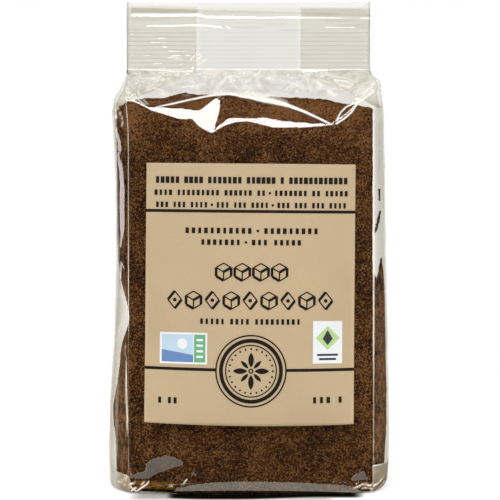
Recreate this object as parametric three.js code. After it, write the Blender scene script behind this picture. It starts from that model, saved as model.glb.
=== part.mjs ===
// A clear gusseted bag filled with dark muscovado sugar, standing on its base, with a paper label
// stuck to its front. The bag is one closed solid: a base, bulging walls between four creases, a
// roof whose gussets fold in over the filling, and a flat header that is crimped shut. The label
// is a second solid, a thin plate that follows the front. Millimetres, +Z up, front towards -Y.
// The bag is drawn about the plane of its header, and moved at the end to stand on the origin.

import * as THREE from "three";

// Walls: four creases, with a bulging panel between each two
const creaseX = 44.5; // from the middle to the left and right creases
const creaseDepth = { foot: 23.6, top: 21.6 }; // from the middle to the front and back creases
const footRadius = { crease: 1.5, front: 6, right: 4, back: 5, left: 2 }; // round under each panel's middle
const footTop = 6; // the foot's rounding ends below this
const wallTop = 129; // here the walls start to turn in to the roof
const frontBulge = 8.8;
const backBulge = 5.4;
const fullestHeight = 38; // the front and back bulge most from the base up to here
const bulgeFade = 112; // they are flat this far above it

// How far each side panel stands outside its creases: pairs of height and distance
const sideBulge = {
  left: curveOf([0, 8.4], [12, 8.9], [32, 8.2], [66, 6.2], [107, 6.3], [140, 7], [149, 4.4], [157, 0]),
  right: curveOf([0, 6.6], [20, 7.5], [51, 6.8], [90, 6], [126, 5.4], [144, 5], [150, 4], [157, 0]),
};

// Roof and gussets: above the filling each side panel folds in between the two slopes
const headerFoot = 156.2;
const shoulder = { rise: 10, inwards: 10, drop: 8 }; // handles of the slope's curve
const gusset = { start: 143.5, depth: 26, narrow: 0.4 }; // starts as a narrow dart, ends full width

// Header
const headerX = 45.6; // from the middle to its left and right edges
const headerShift = -1; // it stands a little off the middle of the walls
const headerThickness = 0.9;
const crimpTop = 170.7; // the ribbed seal runs from the header's foot up to here
const ribCount = 9;
const ribHeight = 0.2; // how far a rib stands out on each side
const backLayerTop = 181.4;
const frontLayerTop = { left: 179.5, right: 176.9 }; // the front layer is cut a little lower
const headerSway = 0.9; // how far the loose top edge waves to the front and back

// Label
const label = { width: 76.2, height: 94.4, thickness: 0.3, gap: 0.3, turn: -0.5 }; // turn in degrees
const labelCentre = { x: -0.4, z: 73.5 };

// Facets
const frontSteps = 24;
const sideSteps = 12;
const footSteps = 4;
const wallSteps = 14;
const roofSteps = 14;
const flapSteps = 3;
const labelColumns = 18;
const labelRows = 14;

const { lerp, clamp, smoothstep, degToRad } = THREE.MathUtils;

// A smooth curve through pairs of height and distance.
function curveOf(...pairs) {
  return new THREE.SplineCurve(pairs.map(([height, distance]) => new THREE.Vector2(height, distance)));
}

// The distance that such a curve gives at a height.
function distanceAt(curve, height) {
  const halvings = 24;
  let low = 0;
  let high = 1;
  for (let i = 0; i < halvings; i++) {
    const between = (low + high) / 2;
    if (curve.getPoint(between).x < height) low = between;
    else high = between;
  }
  return curve.getPoint(low).y;
}

// Shapes across a panel, where t runs from 0 at one crease to 1 at the other
const crown = (t) => 1 - (2 * t - 1) ** 2;
const dart = (t, width) => Math.max(0, 1 - Math.abs(2 * t - 1) / width);

// The share of the front and back bulge at a height.
function bulgeShare(z) {
  const above = Math.max(0, z - fullestHeight);
  return Math.max(0, 1 - (above / bulgeFade) ** 2);
}

// The distance from the middle to the front and back creases of a wall.
function wallDepth(z) {
  return lerp(creaseDepth.foot, creaseDepth.top, clamp(z / wallTop, 0, 1));
}

// The slope of the roof, as distance from the middle against height.
const roofSlope = new THREE.CubicBezierCurve(
  new THREE.Vector2(wallDepth(wallTop), wallTop),
  new THREE.Vector2(wallDepth(wallTop), wallTop + shoulder.rise),
  new THREE.Vector2(shoulder.inwards, headerFoot - shoulder.drop),
  new THREE.Vector2(headerThickness / 2, headerFoot),
);

// The bag's sections from the walls' foot to the top of the crimp: height and half depth.
function sections() {
  const found = [];
  for (let i = 1; i <= wallSteps; i++) {
    const z = lerp(footTop, wallTop, i / wallSteps);
    found.push({ z, depth: wallDepth(z) });
  }
  for (let i = 1; i <= roofSteps; i++) {
    const point = roofSlope.getPoint(i / roofSteps);
    found.push({ z: point.y, depth: point.x });
  }
  const ribPitch = (crimpTop - headerFoot) / ribCount;
  for (let i = 0; i < ribCount; i++) {
    const foot = headerFoot + i * ribPitch;
    found.push({ z: foot + ribPitch / 2, depth: headerThickness / 2 + ribHeight });
    found.push({ z: foot + ribPitch, depth: headerThickness / 2 });
  }
  return found;
}

// A closed ring of points: front from left to right, right side, back, left side. Each of the
// four functions gives a panel's point for t from 0 to 1.
function ringOf(front, right, back, left) {
  const panel = (steps, at) => Array.from({ length: steps }, (_, i) => at(i / steps));
  return [
    ...panel(frontSteps, front),
    ...panel(sideSteps, right),
    ...panel(frontSteps, back),
    ...panel(sideSteps, left),
  ];
}

// A ring of the rounded foot, at an angle from 0 on the base to a right angle where the walls start.
function footRing(angle) {
  const inset = (radius) => radius * (1 - Math.sin(angle));
  const cornerX = creaseX - inset(footRadius.crease);
  const cornerY = wallDepth(0) - inset(footRadius.crease);
  const on = (middle, t) => {
    const radius = lerp(footRadius.crease, middle, crown(t));
    const z = radius * (1 - Math.cos(angle));
    return { z, setIn: inset(radius) - inset(footRadius.crease) };
  };
  const frontOrBack = (middle, bulge, side, t) => {
    const { z, setIn } = on(middle, t);
    return new THREE.Vector3(lerp(side, -side, t) * cornerX, side * (cornerY + bulge * crown(t) - setIn), z);
  };
  const leftOrRight = (middle, curve, side, t) => {
    const { z, setIn } = on(middle, t);
    const x = cornerX + distanceAt(curve, z) * crown(t) - setIn;
    return new THREE.Vector3(side * x, lerp(-side, side, t) * cornerY, z);
  };
  return ringOf(
    (t) => frontOrBack(footRadius.front, frontBulge, -1, t),
    (t) => leftOrRight(footRadius.right, sideBulge.right, 1, t),
    (t) => frontOrBack(footRadius.back, backBulge, 1, t),
    (t) => leftOrRight(footRadius.left, sideBulge.left, -1, t),
  );
}

// The ring of one section.
function sectionRing({ z, depth }) {
  const rise = smoothstep(z, wallTop, headerFoot);
  const halfWidth = lerp(creaseX, headerX, rise);
  const [x0, x1] = [headerShift * rise - halfWidth, headerShift * rise + halfWidth];
  const folded = clamp((z - gusset.start) / (headerFoot - gusset.start), 0, 1);
  const inHeader = z > headerFoot - headerThickness / 2;
  const bulge = (curve, t) => distanceAt(curve, z) * crown(t);
  const tuck = (t) => gusset.depth * folded * dart(t, lerp(gusset.narrow, 1, folded));
  const outwards = (curve, t) => (inHeader ? 0 : bulge(curve, t) - tuck(t));
  const share = bulgeShare(z);
  return ringOf(
    (t) => new THREE.Vector3(lerp(x0, x1, t), -depth - frontBulge * share * crown(t), z),
    (t) => new THREE.Vector3(x1 + outwards(sideBulge.right, t), lerp(-depth, depth, t), z),
    (t) => new THREE.Vector3(lerp(x1, x0, t), depth + backBulge * share * crown(t), z),
    (t) => new THREE.Vector3(x0 - outwards(sideBulge.left, t), lerp(depth, -depth, t), z),
  );
}

// A ring of the two loose layers above the crimp, at a share of their height.
function flapRing(share) {
  const half = headerThickness / 2;
  const [x0, x1] = [headerShift - headerX, headerShift + headerX];
  const at = (x, y) => {
    const along = (x - x0) / (x1 - x0);
    const frontTop = lerp(frontLayerTop.left, frontLayerTop.right, along);
    const top = lerp(frontTop, backLayerTop, (y + half) / headerThickness);
    const wave = headerSway * share ** 2 * Math.cos(Math.PI * along);
    return new THREE.Vector3(x, y + wave, lerp(crimpTop, top, share));
  };
  return ringOf(
    (t) => at(lerp(x0, x1, t), -half),
    (t) => at(x1, lerp(-half, half, t)),
    (t) => at(lerp(x1, x0, t), half),
    (t) => at(x0, lerp(half, -half, t)),
  );
}

// A closed mesh over a stack of rings. Its two ends are zipped shut from the left to the right,
// each point of the front half to its opposite on the back half.
function loft(rings) {
  const around = rings[0].length;
  const leftMiddle = around - sideSteps / 2;
  const index = [];
  for (let i = 0; i + 1 < rings.length; i++) {
    for (let j = 0; j < around; j++) {
      const a = i * around + j;
      const b = i * around + ((j + 1) % around);
      index.push(a, b, b + around, a, b + around, a + around);
    }
  }
  const frontwards = (ring, k) => ring * around + ((leftMiddle + k) % around);
  const backwards = (ring, k) => ring * around + ((leftMiddle - k + around) % around);
  const zip = (ring, first, second) => {
    for (let k = 0; k < around / 2; k++) {
      if (k > 0) index.push(first(ring, k), second(ring, k), second(ring, k + 1));
      if (k + 1 < around / 2) index.push(first(ring, k), second(ring, k + 1), first(ring, k + 1));
    }
  };
  zip(0, frontwards, backwards);
  zip(rings.length - 1, backwards, frontwards);
  return new THREE.BufferGeometry().setFromPoints(rings.flat()).setIndex(index);
}

function bagGeometry() {
  const foot = Array.from({ length: footSteps + 1 }, (_, i) => footRing(((i / footSteps) * Math.PI) / 2));
  const flap = Array.from({ length: flapSteps }, (_, i) => flapRing((i + 1) / flapSteps));
  return loft([...foot, ...sections().map(sectionRing), ...flap]);
}

// A thin plate that follows the front panel, with a face on each side and a rim.
function labelGeometry() {
  const turn = degToRad(label.turn);
  const across = labelColumns + 1;
  const face = (off) =>
    Array.from({ length: (labelRows + 1) * across }, (_, i) => {
      const right = ((i % across) / labelColumns - 0.5) * label.width;
      const up = (Math.floor(i / across) / labelRows - 0.5) * label.height;
      const x = labelCentre.x + right * Math.cos(turn) - up * Math.sin(turn);
      const z = labelCentre.z + right * Math.sin(turn) + up * Math.cos(turn);
      const panel = wallDepth(z) + frontBulge * bulgeShare(z) * crown((x / creaseX + 1) / 2);
      return new THREE.Vector3(x, -panel - off, z);
    });
  const points = [...face(label.gap + label.thickness), ...face(label.gap)];
  const behind = points.length / 2;
  const at = (row, column) => row * across + column;
  const index = [];
  const quad = (a, b, c, d) => index.push(a, b, c, a, c, d);
  const rim = (a, b) => quad(a, behind + a, behind + b, b);
  for (let r = 0; r < labelRows; r++) {
    for (let c = 0; c < labelColumns; c++) {
      const [a, b, d, e] = [at(r, c), at(r, c + 1), at(r + 1, c + 1), at(r + 1, c)];
      quad(a, b, d, e);
      quad(behind + a, behind + e, behind + d, behind + b);
    }
    rim(at(r + 1, 0), at(r, 0));
    rim(at(r, labelColumns), at(r + 1, labelColumns));
  }
  for (let c = 0; c < labelColumns; c++) {
    rim(at(0, c), at(0, c + 1));
    rim(at(labelRows, c + 1), at(labelRows, c));
  }
  return new THREE.BufferGeometry().setFromPoints(points).setIndex(index);
}

function named(name, geometry, look) {
  geometry.computeVertexNormals();
  const mesh = new THREE.Mesh(geometry, new THREE.MeshStandardMaterial(look));
  mesh.name = name;
  return mesh;
}

const pack = new THREE.Group();
pack.add(named("bag", bagGeometry(), { color: 0x4a2f1a, roughness: 0.35, metalness: 0 }));
pack.add(named("label", labelGeometry(), { color: 0xc5ae8a, roughness: 0.8, metalness: 0 }));

const middle = new THREE.Box3().setFromObject(pack).getCenter(new THREE.Vector3());
pack.position.set(-middle.x, -middle.y, 0);

export default pack;
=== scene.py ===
import math
import random

import bmesh
import bpy
import numpy as np
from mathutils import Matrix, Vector, noise


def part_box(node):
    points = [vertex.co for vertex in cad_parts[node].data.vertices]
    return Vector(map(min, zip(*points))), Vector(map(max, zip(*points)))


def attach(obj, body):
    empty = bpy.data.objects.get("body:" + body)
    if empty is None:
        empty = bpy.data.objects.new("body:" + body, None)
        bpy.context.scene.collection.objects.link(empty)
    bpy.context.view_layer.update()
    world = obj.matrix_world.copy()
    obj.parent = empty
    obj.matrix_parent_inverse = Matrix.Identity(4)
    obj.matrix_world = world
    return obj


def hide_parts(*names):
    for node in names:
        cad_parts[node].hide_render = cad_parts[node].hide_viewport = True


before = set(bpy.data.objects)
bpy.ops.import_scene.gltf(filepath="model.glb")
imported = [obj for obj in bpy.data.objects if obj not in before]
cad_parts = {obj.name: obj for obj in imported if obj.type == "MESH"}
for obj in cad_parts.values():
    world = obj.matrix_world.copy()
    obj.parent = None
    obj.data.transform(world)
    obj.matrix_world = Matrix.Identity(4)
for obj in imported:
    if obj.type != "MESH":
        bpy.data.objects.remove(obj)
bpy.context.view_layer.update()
print("frame loaded")

# The bag is drawn about the plane of its header, in millimetres; toScene moves it to its place.
bag = dict(
    creaseX=44.85,  # from the middle to the left and right creases
    creaseDepth=(23.6, 21.6),  # from the middle to the front and back creases, at the foot and at wallTop
    footRadius=dict(crease=1.5, front=6, right=4, back=5, left=2),
    wallTop=129,  # here the walls start to turn in to the roof
    frontBulge=8.8,
    backBulge=5.4,
    fullestHeight=38,
    bulgeFade=112,
    headerFoot=156.2,
    headerX=45.6,
    headerShift=-1,
    headerThickness=0.5,
    crimpTop=170.7,
    ribCount=9,
    backTop=181.4,
    frontTop=(179.5, 176.9),  # the front layer is cut lower, left and right
    sway=0.9,
    flapApart=1.6,  # how far the flap's two layers open towards the top, in header thicknesses
    shoulder=(2.2, 151.2, 2.6),  # the right crease stands out below the header: width, height, spread
    gussetDepth=26,
    gussetRange=(140.5, 154.5),
    gussetNarrow=0.4,
)
film = dict(
    frontColumns=196,
    creaseStep=0.27,  # the columns nearest to the creases stand closer
    sideColumns=44,
    backColumns=40,
    footRows=10,
    cornerRows=12,  # between the foot's curve and cornerTop
    cornerTop=9,
    lowRow=0.62,
    lowTop=20,
    wallRow=1.75,
    roofRow=0.34,
    rowsPerRib=8,
    flapRows=24,
    baseRings=(0.02, 0.25, 0.5, 0.75),
    baseLine=30,  # half the length of the line that the base closes to
    ribHeight=0.075,
    creaseBead=0.06,
    tint=(0.952, 0.944, 0.916),
    deepTint=(0.83, 0.805, 0.735),  # seen at a slant or where layers cling together
    stain=(0.43, 0.355, 0.265),  # where the corners are folded over, and in painted shadow lines
    wearAndHighlight=(1.0, 0.94, 0.86),  # creases turn white where the film is cracked; the same white also paints highlights
    wearAndHighlightLow=(1.0, 0.87, 0.7),  # and cream lower down, over the sugar
    roughness=0.05,
)
sugar = dict(
    gap=0.45,  # from the film to the sugar
    foot=0.35,
    frontColumns=128,
    sideColumns=64,
    rows=176,
    capRows=34,
    relief=dict(coarse=3.1, fine=1.1, pit=4.7, top=8.3),  # sizes of its unevenness
    ridge=30,  # half the length of the lines that the top and the base close to
    color=(0.076, 0.0275, 0.005),
    dark=(0.0075, 0.0025, 0.0008),
    light=(0.28, 0.126, 0.043),
    lit=(0.28, 0.128, 0.02),
    grain=0.0004,
    grains=5200,
    crystal=(0.0006, 0.0013),
    block=(1.0, 0.8, 0.75),  # a crystal's proportions
    topFrom=0.1395,  # loose crystals lie above this height, in metres
    topGap=1.6,  # where the film is at least this far above
    clingStep=0.4,  # the squares of wall that crystals cling to
    clingGap=0.5,  # how far inside the film they lie
    clingDensity=4.0,  # and how much thicker than on the top
    seed=11,
    # where sugar clings to the right wall, as depth behind the front crease and height
    smears=[
        [(6.9, 86.4), (5.4, 83), (3.4, 79.2), (1.2, 76), (1, 74), (11, 74), (10.4, 77), (9.4, 80),
         (8, 83.4)],
        [(6.4, 103.4), (5.2, 102.6), (3.4, 99.6), (1.4, 95.6), (2.7, 96.2), (5, 99.6)],
        [(5.9, 111.4), (4.9, 111.4), (4.9, 107.2), (5.7, 107.2)],
    ],
)
labelLook = dict(
    width=76.2,
    height=94.4,
    thickness=0.3,
    gap=0.3,
    turn=-0.5,
    centre=(-0.4, 73.5),
    dip=0.35,
    lift=1.8,  # the lower edge stands off the film
    squares=(64, 72),
    paper=(0.532, 0.4, 0.24),
    ink=(0.009, 0.006, 0.004),
    inkHeight=0.05,
)

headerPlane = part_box("bag")[1].y * 1000 - bag["creaseDepth"][0] - bag["backBulge"]
middleX = (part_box("label")[0].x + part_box("label")[1].x) * 500 - labelLook["centre"][0]


def toScene(points):
    return (np.asarray(points, float) + (middleX, headerPlane, 0)) / 1000


def lerp(a, b, t):
    return a + (b - a) * t


def clamp(value, low=0.0, high=1.0):
    return np.minimum(np.maximum(value, low), high)


def smooth(value, low, high):
    t = clamp((value - low) / (high - low))
    return t * t * (3 - 2 * t)


# Rises from start to full and falls from fading to end.
def band(value, start, full, fading, end):
    return smooth(value, start, full) * (1 - smooth(value, fading, end))


def crown(t):
    return 1 - (2 * t - 1) ** 2


# A smooth curve through pairs of height and distance.
def curveOf(*pairs, steps=24):
    points = np.array([pairs[0], *pairs, pairs[-1]], float)
    found = []
    for p0, p1, p2, p3 in zip(points, points[1:], points[2:], points[3:]):
        t = np.linspace(0, 1, steps)[:, None]
        v0, v1 = (p2 - p0) / 2, (p3 - p1) / 2
        cubic, square = 2 * p1 - 2 * p2 + v0 + v1, 3 * p2 - 3 * p1 - 2 * v0 - v1
        found.append(cubic * t**3 + square * t**2 + v0 * t + p1)
    found = np.concatenate(found)
    return lambda height: np.interp(height, found[:, 0], found[:, 1])


# how far the side walls stand out, over height
filmSide = dict(
    left=curveOf((0, 8.1), (12, 8.6), (32, 8.1), (66, 6.1), (107, 6.2), (140, 6.7), (149, 4.1), (157, 0)),
    right=curveOf((0, 6.3), (20, 7.2), (51, 6.5), (90, 5.7), (126, 5.1), (144, 4.7), (150, 3.7), (157, 0)),
)
sugarSide = dict(
    left=curveOf(
        (0, 0), (4.2, 0.4), (4.9, 5.8), (6, 6.2), (12, 6.4), (17, 6.5), (23, 7.1), (29, 7.5), (36, 6.4),
        (43, 5.3), (52.5, 4.2), (58, 2.4), (63, 1), (68, 2), (75, 3.9), (81, 4.8), (90, 5.7), (107, 5.8),
        (140, 6),
    ),
    right=curveOf(
        (0, 0), (6.8, 0.4), (7.4, 5.4), (8.4, 5.7), (14, 6.1), (20, 6.5), (36, 6.5), (51, 6.2), (66, 5.9),
        (73, 5.7), (75, 4.8), (77.5, 2), (79.5, 0.6), (110, 0.5), (145, 0.5),
    ),
)


def bulgeShare(z):
    above = np.maximum(0, z - bag["fullestHeight"])
    return np.maximum(0, 1 - (above / bag["bulgeFade"]) ** 2)


def wallDepth(z):
    return lerp(*bag["creaseDepth"], clamp(z / bag["wallTop"]))


def frontDepth(x, z):
    return wallDepth(z) + bag["frontBulge"] * bulgeShare(z) * crown((x / bag["creaseX"] + 1) / 2)


# The back of the roof is one curve from the wall to the header.
def backRoof(z):
    t = np.linspace(0, 1, 200)
    low, high = bag["wallTop"], bag["headerFoot"]
    start, end = wallDepth(low), bag["headerThickness"] / 2
    ways = [(start, low), (start, low + 10), (10, high - 8), (end, high)]
    depth, height = (
        sum(k * p * t**n * (1 - t) ** (3 - n) for n, (k, p) in enumerate(zip((1, 3, 3, 1), part)))
        for part in zip(*ways)
    )
    return np.interp(z, height, depth)


# The folded front of the roof. Below the fold, given as x and height, the film still stands nearly
# upright. The facets above it lean so far that they shine. Slopes are depth lost for height gained.
foldLeft = [
    (-41.7, 144), (-38.9, 141.7), (-36.3, 140.3), (-29.6, 138.3), (-25.9, 137.1), (-24, 136.9),
    (-22.4, 137.7), (-20.4, 137.7), (-19.2, 136.3), (-18.8, 134.4), (-17, 133), (-14.4, 131.6),
]
foldRight = [(-9.5, 134.4), (-5.8, 135.9), (-0.7, 136.2), (2.2, 135.5), (8.8, 133.7), (19.7, 133.8)]
roof = dict(
    step=0.4,
    fold=[(-45, 144.3), *foldLeft, *foldRight, (29.9, 135), (35.9, 140), (39, 143), (45, 147.5)],
    facets=[
        [(-45.5, 144.9), *foldLeft, (-13.4, 133), (-11.9, 138.5), (-10.5, 144.6), (-12.2, 145.5),
         (-15.1, 143), (-18.7, 140.2), (-24.2, 141), (-30, 141.4), (-36.3, 141.5), (-38.9, 142.4),
         (-41.6, 144.7), (-45.5, 145.5)],
        [foldLeft[-1], *foldRight, (31, 135), (12.4, 136.3), (5.1, 137.8), (-2.2, 137.4), (-8, 137.4),
         (-13.6, 132.6)],
    ],
    footSlope=0.128,
    lowSlope=0.24,
    shineSlope=0.46,
)


def inside(polygon, x, z):
    hit = np.zeros(np.broadcast(x, z).shape, bool)
    for (x0, z0), (x1, z1) in zip(polygon, polygon[1:] + polygon[:1]):
        if z0 != z1:
            crosses = (z0 > z) != (z1 > z)
            hit ^= crosses & (x < x0 + (z - z0) / (z1 - z0) * (x1 - x0))
    return hit


def anyInside(facets, x, z):
    return sum(inside(f, x, z) for f in facets) > 0


# Asks a question between a grid's points, once upwards and once across.
def between(ask, xs, zs):
    xMiddles, zMiddles = ((line[:-1] + line[1:]) / 2 for line in (xs, zs))
    return ask(*np.meshgrid(xs, zMiddles, indexing="ij")), ask(*np.meshgrid(xMiddles, zs, indexing="ij"))


# A surface over x and height whose rim stays as given and whose slopes come as near as they can to
# the ones asked for. The slopes and their weights are given between the grid's points, and conjugate
# gradients find the surface.
def settled(xs, zs, surface, gx, gz, wx, wz, rounds=900):
    dx, dz = xs[1] - xs[0], zs[1] - zs[0]
    free = np.zeros(surface.shape, bool)
    free[1:-1, 1:-1] = True

    def spread(ax, az):
        out = np.zeros_like(surface)
        out[1:] += ax / dx
        out[:-1] -= ax / dx
        out[:, 1:] += az / dz
        out[:, :-1] -= az / dz
        return out * free

    def push(field):
        return spread(wx * (np.diff(field, axis=0) / dx), wz * (np.diff(field, axis=1) / dz))

    rest = spread(wx * gx, wz * gz) - push(surface)
    way = rest.copy()
    size = (rest**2).sum()
    for _ in range(rounds):
        pushed = push(way)
        step = size / (way * pushed).sum()
        surface = surface + step * way
        rest = rest - step * pushed
        newSize = (rest**2).sum()
        if newSize < 1e-9:
            break
        way = rest + newSize / size * way
        size = newSize
    return surface


# Reads a grid over x and height at any places.
def gridReader(xs, zs, grid):
    def read(x, z):
        i = clamp((x - xs[0]) / (xs[1] - xs[0]), 0, len(xs) - 1.001)
        j = clamp((z - zs[0]) / (zs[1] - zs[0]), 0, len(zs) - 1.001)
        i0, j0 = i.astype(int), j.astype(int)
        u, v = i - i0, j - j0
        low = lerp(grid[i0, j0], grid[i0 + 1, j0], u)
        return lerp(low, lerp(grid[i0, j0 + 1], grid[i0 + 1, j0 + 1], u), v)

    return read


# Depth over the roof's front, settled so that each place leans as its facet says.
def makeRoof():
    xs = np.arange(-bag["creaseX"], bag["creaseX"] + 1e-6, roof["step"])
    rows = int((bag["headerFoot"] - bag["wallTop"]) / roof["step"]) + 1
    zs = np.linspace(bag["wallTop"], bag["headerFoot"], rows)
    dx, dz = xs[1] - xs[0], zs[1] - zs[0]
    foot, top = frontDepth(xs, bag["wallTop"]), bag["headerThickness"] / 2

    def zones(x, z):
        foldAt = np.interp(x, *np.array(roof["fold"]).T)
        rise = clamp((z - bag["wallTop"]) / (foldAt - bag["wallTop"]))
        lowLean = lerp(roof["footSlope"] * crown((x / bag["creaseX"] + 1) / 2), roof["lowSlope"], rise)
        shine = anyInside(roof["facets"], x, z)
        return (z < foldAt) & ~shine, lowLean, shine

    (low, lowLean, shine), (lowAcross, _, shineAcross) = between(zones, xs, zs)
    above = ~low & ~shine
    used = (np.where(low, lowLean, 0) + np.where(shine, roof["shineSlope"], 0)).sum(1) * dz
    steep = (foot - top - used) / np.maximum(above.sum(1) * dz, 1)
    gz = -np.where(shine, roof["shineSlope"], np.where(low, lowLean, steep[:, None]))
    wz = np.where(shine, 30.0, np.where(low, 8.0, 1.0))
    gx = np.where(lowAcross, np.gradient(foot, dx)[:-1, None], 0.0)
    wx = np.where(shineAcross, 12.0, np.where(lowAcross, 4.0, 0.6))
    depth = np.concatenate([foot[:, None], foot[:, None] + np.cumsum(gz, 1) * dz], 1)
    depth[:, -1] = top
    return gridReader(xs, zs, settled(xs, zs, depth, gx, gz, wx, wz))


roofFront = makeRoof()

# Slack folds low on the front, as an offset outwards: facets that lean forwards over the floor.
slack = dict(
    step=0.5,
    top=26,
    lean=0.17,
    facets=[
        [(-38.6, 11.6), (-37, 13), (-34.9, 13.9), (-32.9, 14), (-31.8, 14.8), (-29, 15), (-27.4, 14.3),
         (-24.5, 12.6), (-25.3, 11.4), (-27.4, 10.6), (-29.2, 10.2), (-31.3, 9.2), (-33.9, 8), (-36, 7),
         (-38.1, 8.6), (-37.8, 10.2)],
        [(-36, 6.5), (-38.1, 8.4), (-39.3, 7.9), (-41.9, 7.2), (-44, 6.4), (-44, 5.4), (-39, 5.4)],
        [(37, 4.8), (37.5, 6.4), (39.2, 8), (41.8, 10), (42.2, 9), (42.2, 4.8)],
        [(-21.8, 9.6), (-20.4, 8.2), (-19.9, 7.4), (-20.8, 7.6)],
    ],
)


def makeSlack():
    xs = np.arange(-bag["creaseX"], bag["creaseX"] + 1e-6, slack["step"])
    zs = np.arange(0, slack["top"] + 1e-6, slack["step"])
    upwards, across = between(lambda x, z: anyInside(slack["facets"], x, z), xs, zs)
    gz, flat = np.where(upwards, slack["lean"], 0.0), np.zeros((len(xs), len(zs)))
    wx, wz = np.where(across, 12.0, 0.15), np.where(upwards, 40.0, 1.0)
    return gridReader(xs, zs, settled(xs, zs, flat, 0, gz, wx, wz, 300))


slackFront = makeSlack()


# The walls stand out by these shares of their greatest width, over the share of depth.
def wallCrown(t):
    return 1 - np.abs(2 * t - 1) ** 2.7


# Patches of the left wall that catch the light from behind, as depth behind the front crease and
# height, and how much they run outwards. The film between them takes slopes that stay in shade.
wall = dict(
    step=0.5,
    depth=45,
    range=(74, 146),
    slope=0.4,
    shady=dict(least=0.3, middle=0.42, most=0.5, flatter=0.28, steeper=0.56),
    facets=[
        [(4.7, 123.5), (2.6, 119), (2.1, 112), (2.1, 98), (2.9, 94), (4.7, 92), (6.5, 94), (7.7, 98),
         (7.7, 112), (7.1, 119)],
        [(10.7, 134), (8.2, 134), (4.2, 129), (3, 124.8), (4.9, 124.6), (6.9, 128), (9.2, 131)],
        [(5.1, 137.5), (2.2, 138), (1.9, 135.8), (3.9, 134.4)],
        [(6.7, 142.5), (3.7, 142.8), (0.6, 138.5), (0.6, 137)],
        [(1.7, 92.6), (0.6, 92.6), (0.6, 90.6), (1.1, 90.6)],
        [(6.7, 88), (2.7, 88.5), (1.7, 86), (1.3, 82.5), (2.7, 81), (5.2, 84.5)],
    ],
)


# The left wall's offset outwards from its plain bulge.
def makeWall():
    step, shady = wall["step"], wall["shady"]
    ds = np.arange(0, wall["depth"] + 1e-6, step)
    zs = np.arange(wall["range"][0], wall["range"][1] + 1e-6, step)
    plain = filmSide["left"](zs)[None, :] * wallCrown(ds / wall["depth"])[:, None]
    _, shine = between(lambda d, z: anyInside(wall["facets"], d, z), ds, zs)
    across = np.diff(plain, axis=0) / step
    dim = (across > shady["least"]) & (across < shady["most"]) & ~shine
    gx = np.where(dim, np.where(across > shady["middle"], shady["steeper"], shady["flatter"]), across)
    gx = np.where(shine, wall["slope"], gx)
    wx = np.where(shine, 30.0, np.where(dim, 14.0, 1.0))
    shape = settled(ds, zs, plain, gx, np.diff(plain, axis=1) / step, wx, 0.15, 500)
    return gridReader(ds, zs, shape - plain)


wallLeft = makeWall()


# Short creases strewn over a patch of film.
def crinkles(seed, count, low, high, height, width, longest):
    dice = random.Random(seed)
    made = []
    for _ in range(count):
        x, z = dice.uniform(low[0], high[0]), dice.uniform(low[1], high[1])
        angle, length = dice.uniform(0, math.pi), dice.uniform(0.35, 1) * longest
        bend = dice.uniform(-0.7, 0.7)
        mid = (x + math.cos(angle) * length / 2, z + math.sin(angle) * length / 2)
        end = (mid[0] + math.cos(angle + bend) * length / 2, mid[1] + math.sin(angle + bend) * length / 2)
        made.append((height * dice.uniform(0.5, 1), width, [(x, z), mid, end]))
    return made


# Lines on the film are (strength, half width, points). The points are x and height on the front, and
# depth behind the front crease and height on the sides. A third value in a point widens or narrows
# the line there. The strength of a wrinkle is how far it stands out.
frontWrinkles = [
    (0.4, 0.7, [(37.2, 142.6), (32.5, 138.8), (30.6, 136)]),
    (0.35, 0.8, [(30.6, 152.3), (34, 151.6), (37.5, 150.2), (36, 149.4), (31.5, 150.4), (30.6, 152.3)]),
    (0.5, 1.2, [(27, 151), (29.6, 146.9)]),
    (0.3, 0.8, [(-44, 152), (-36.3, 145), (-33, 142.6)]),
    (0.25, 0.7, [(-41, 153.6), (-34, 147)]),
    (0.25, 0.7, [(-45, 149.6), (-39, 144.6)]),
    (0.3, 1.0, [(-30, 153), (-22, 156), (-19, 158)]),
    (0.58, 1.6, [(-44, 175.7), (-34, 175.6), (-20, 175.8), (-18.4, 175.7, 0.6)]),
    (0.58, 1.6, [(-17.4, 175.2, 0.7), (-10, 174.9), (10, 174.8), (16, 174.8, 0.7)]),
    (0.8, 1.7, [(8, 174.8, 0.7), (16, 174.8), (40, 174.8), (44.6, 174.7, 0.7)]),
    (0.52, 1.4, [(-38.7, 171.9, 0.7), (-30, 171.8), (-20, 172.1), (-18.6, 172.1, 0.6)]),
    (0.48, 1.3, [(-17.6, 172.2, 0.6), (-14.4, 171.8), (-11, 171.3, 0.7)]),
    (0.45, 1.1, [(-9.8, 171.9), (-7.6, 171)]),
    (0.42, 1.1, [(27.8, 171.6, 0.7), (36, 171.5), (39, 171.5, 0.7)]),
    *crinkles(5, 12, (-34, 154), (-17, 163), 0.25, 0.6, 3),
    *crinkles(6, 8, (-44, 145), (-24, 155), 0.22, 0.6, 6),
    *crinkles(9, 26, (-26, 148), (44, 154.6), 0.26, 0.9, 9),
]
sideWrinkles = dict(
    left=[
        (0.4, 1.2, [(9, 76), (5, 71.5), (1.5, 68), (1, 62)]),
        (0.35, 1.0, [(3, 66), (6, 61), (8, 56), (9, 48)]),
        (0.3, 1.0, [(5, 145), (10, 141), (12, 136)]),
    ],
    right=[
        (0.5, 1.4, [(4.5, 150), (9, 143), (4.5, 136)]),
        (0.4, 1.4, [(13, 120), (5, 92), (10, 84)]),
        (0.4, 1.2, [(4.5, 60), (9, 40)]),
    ],
)
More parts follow.
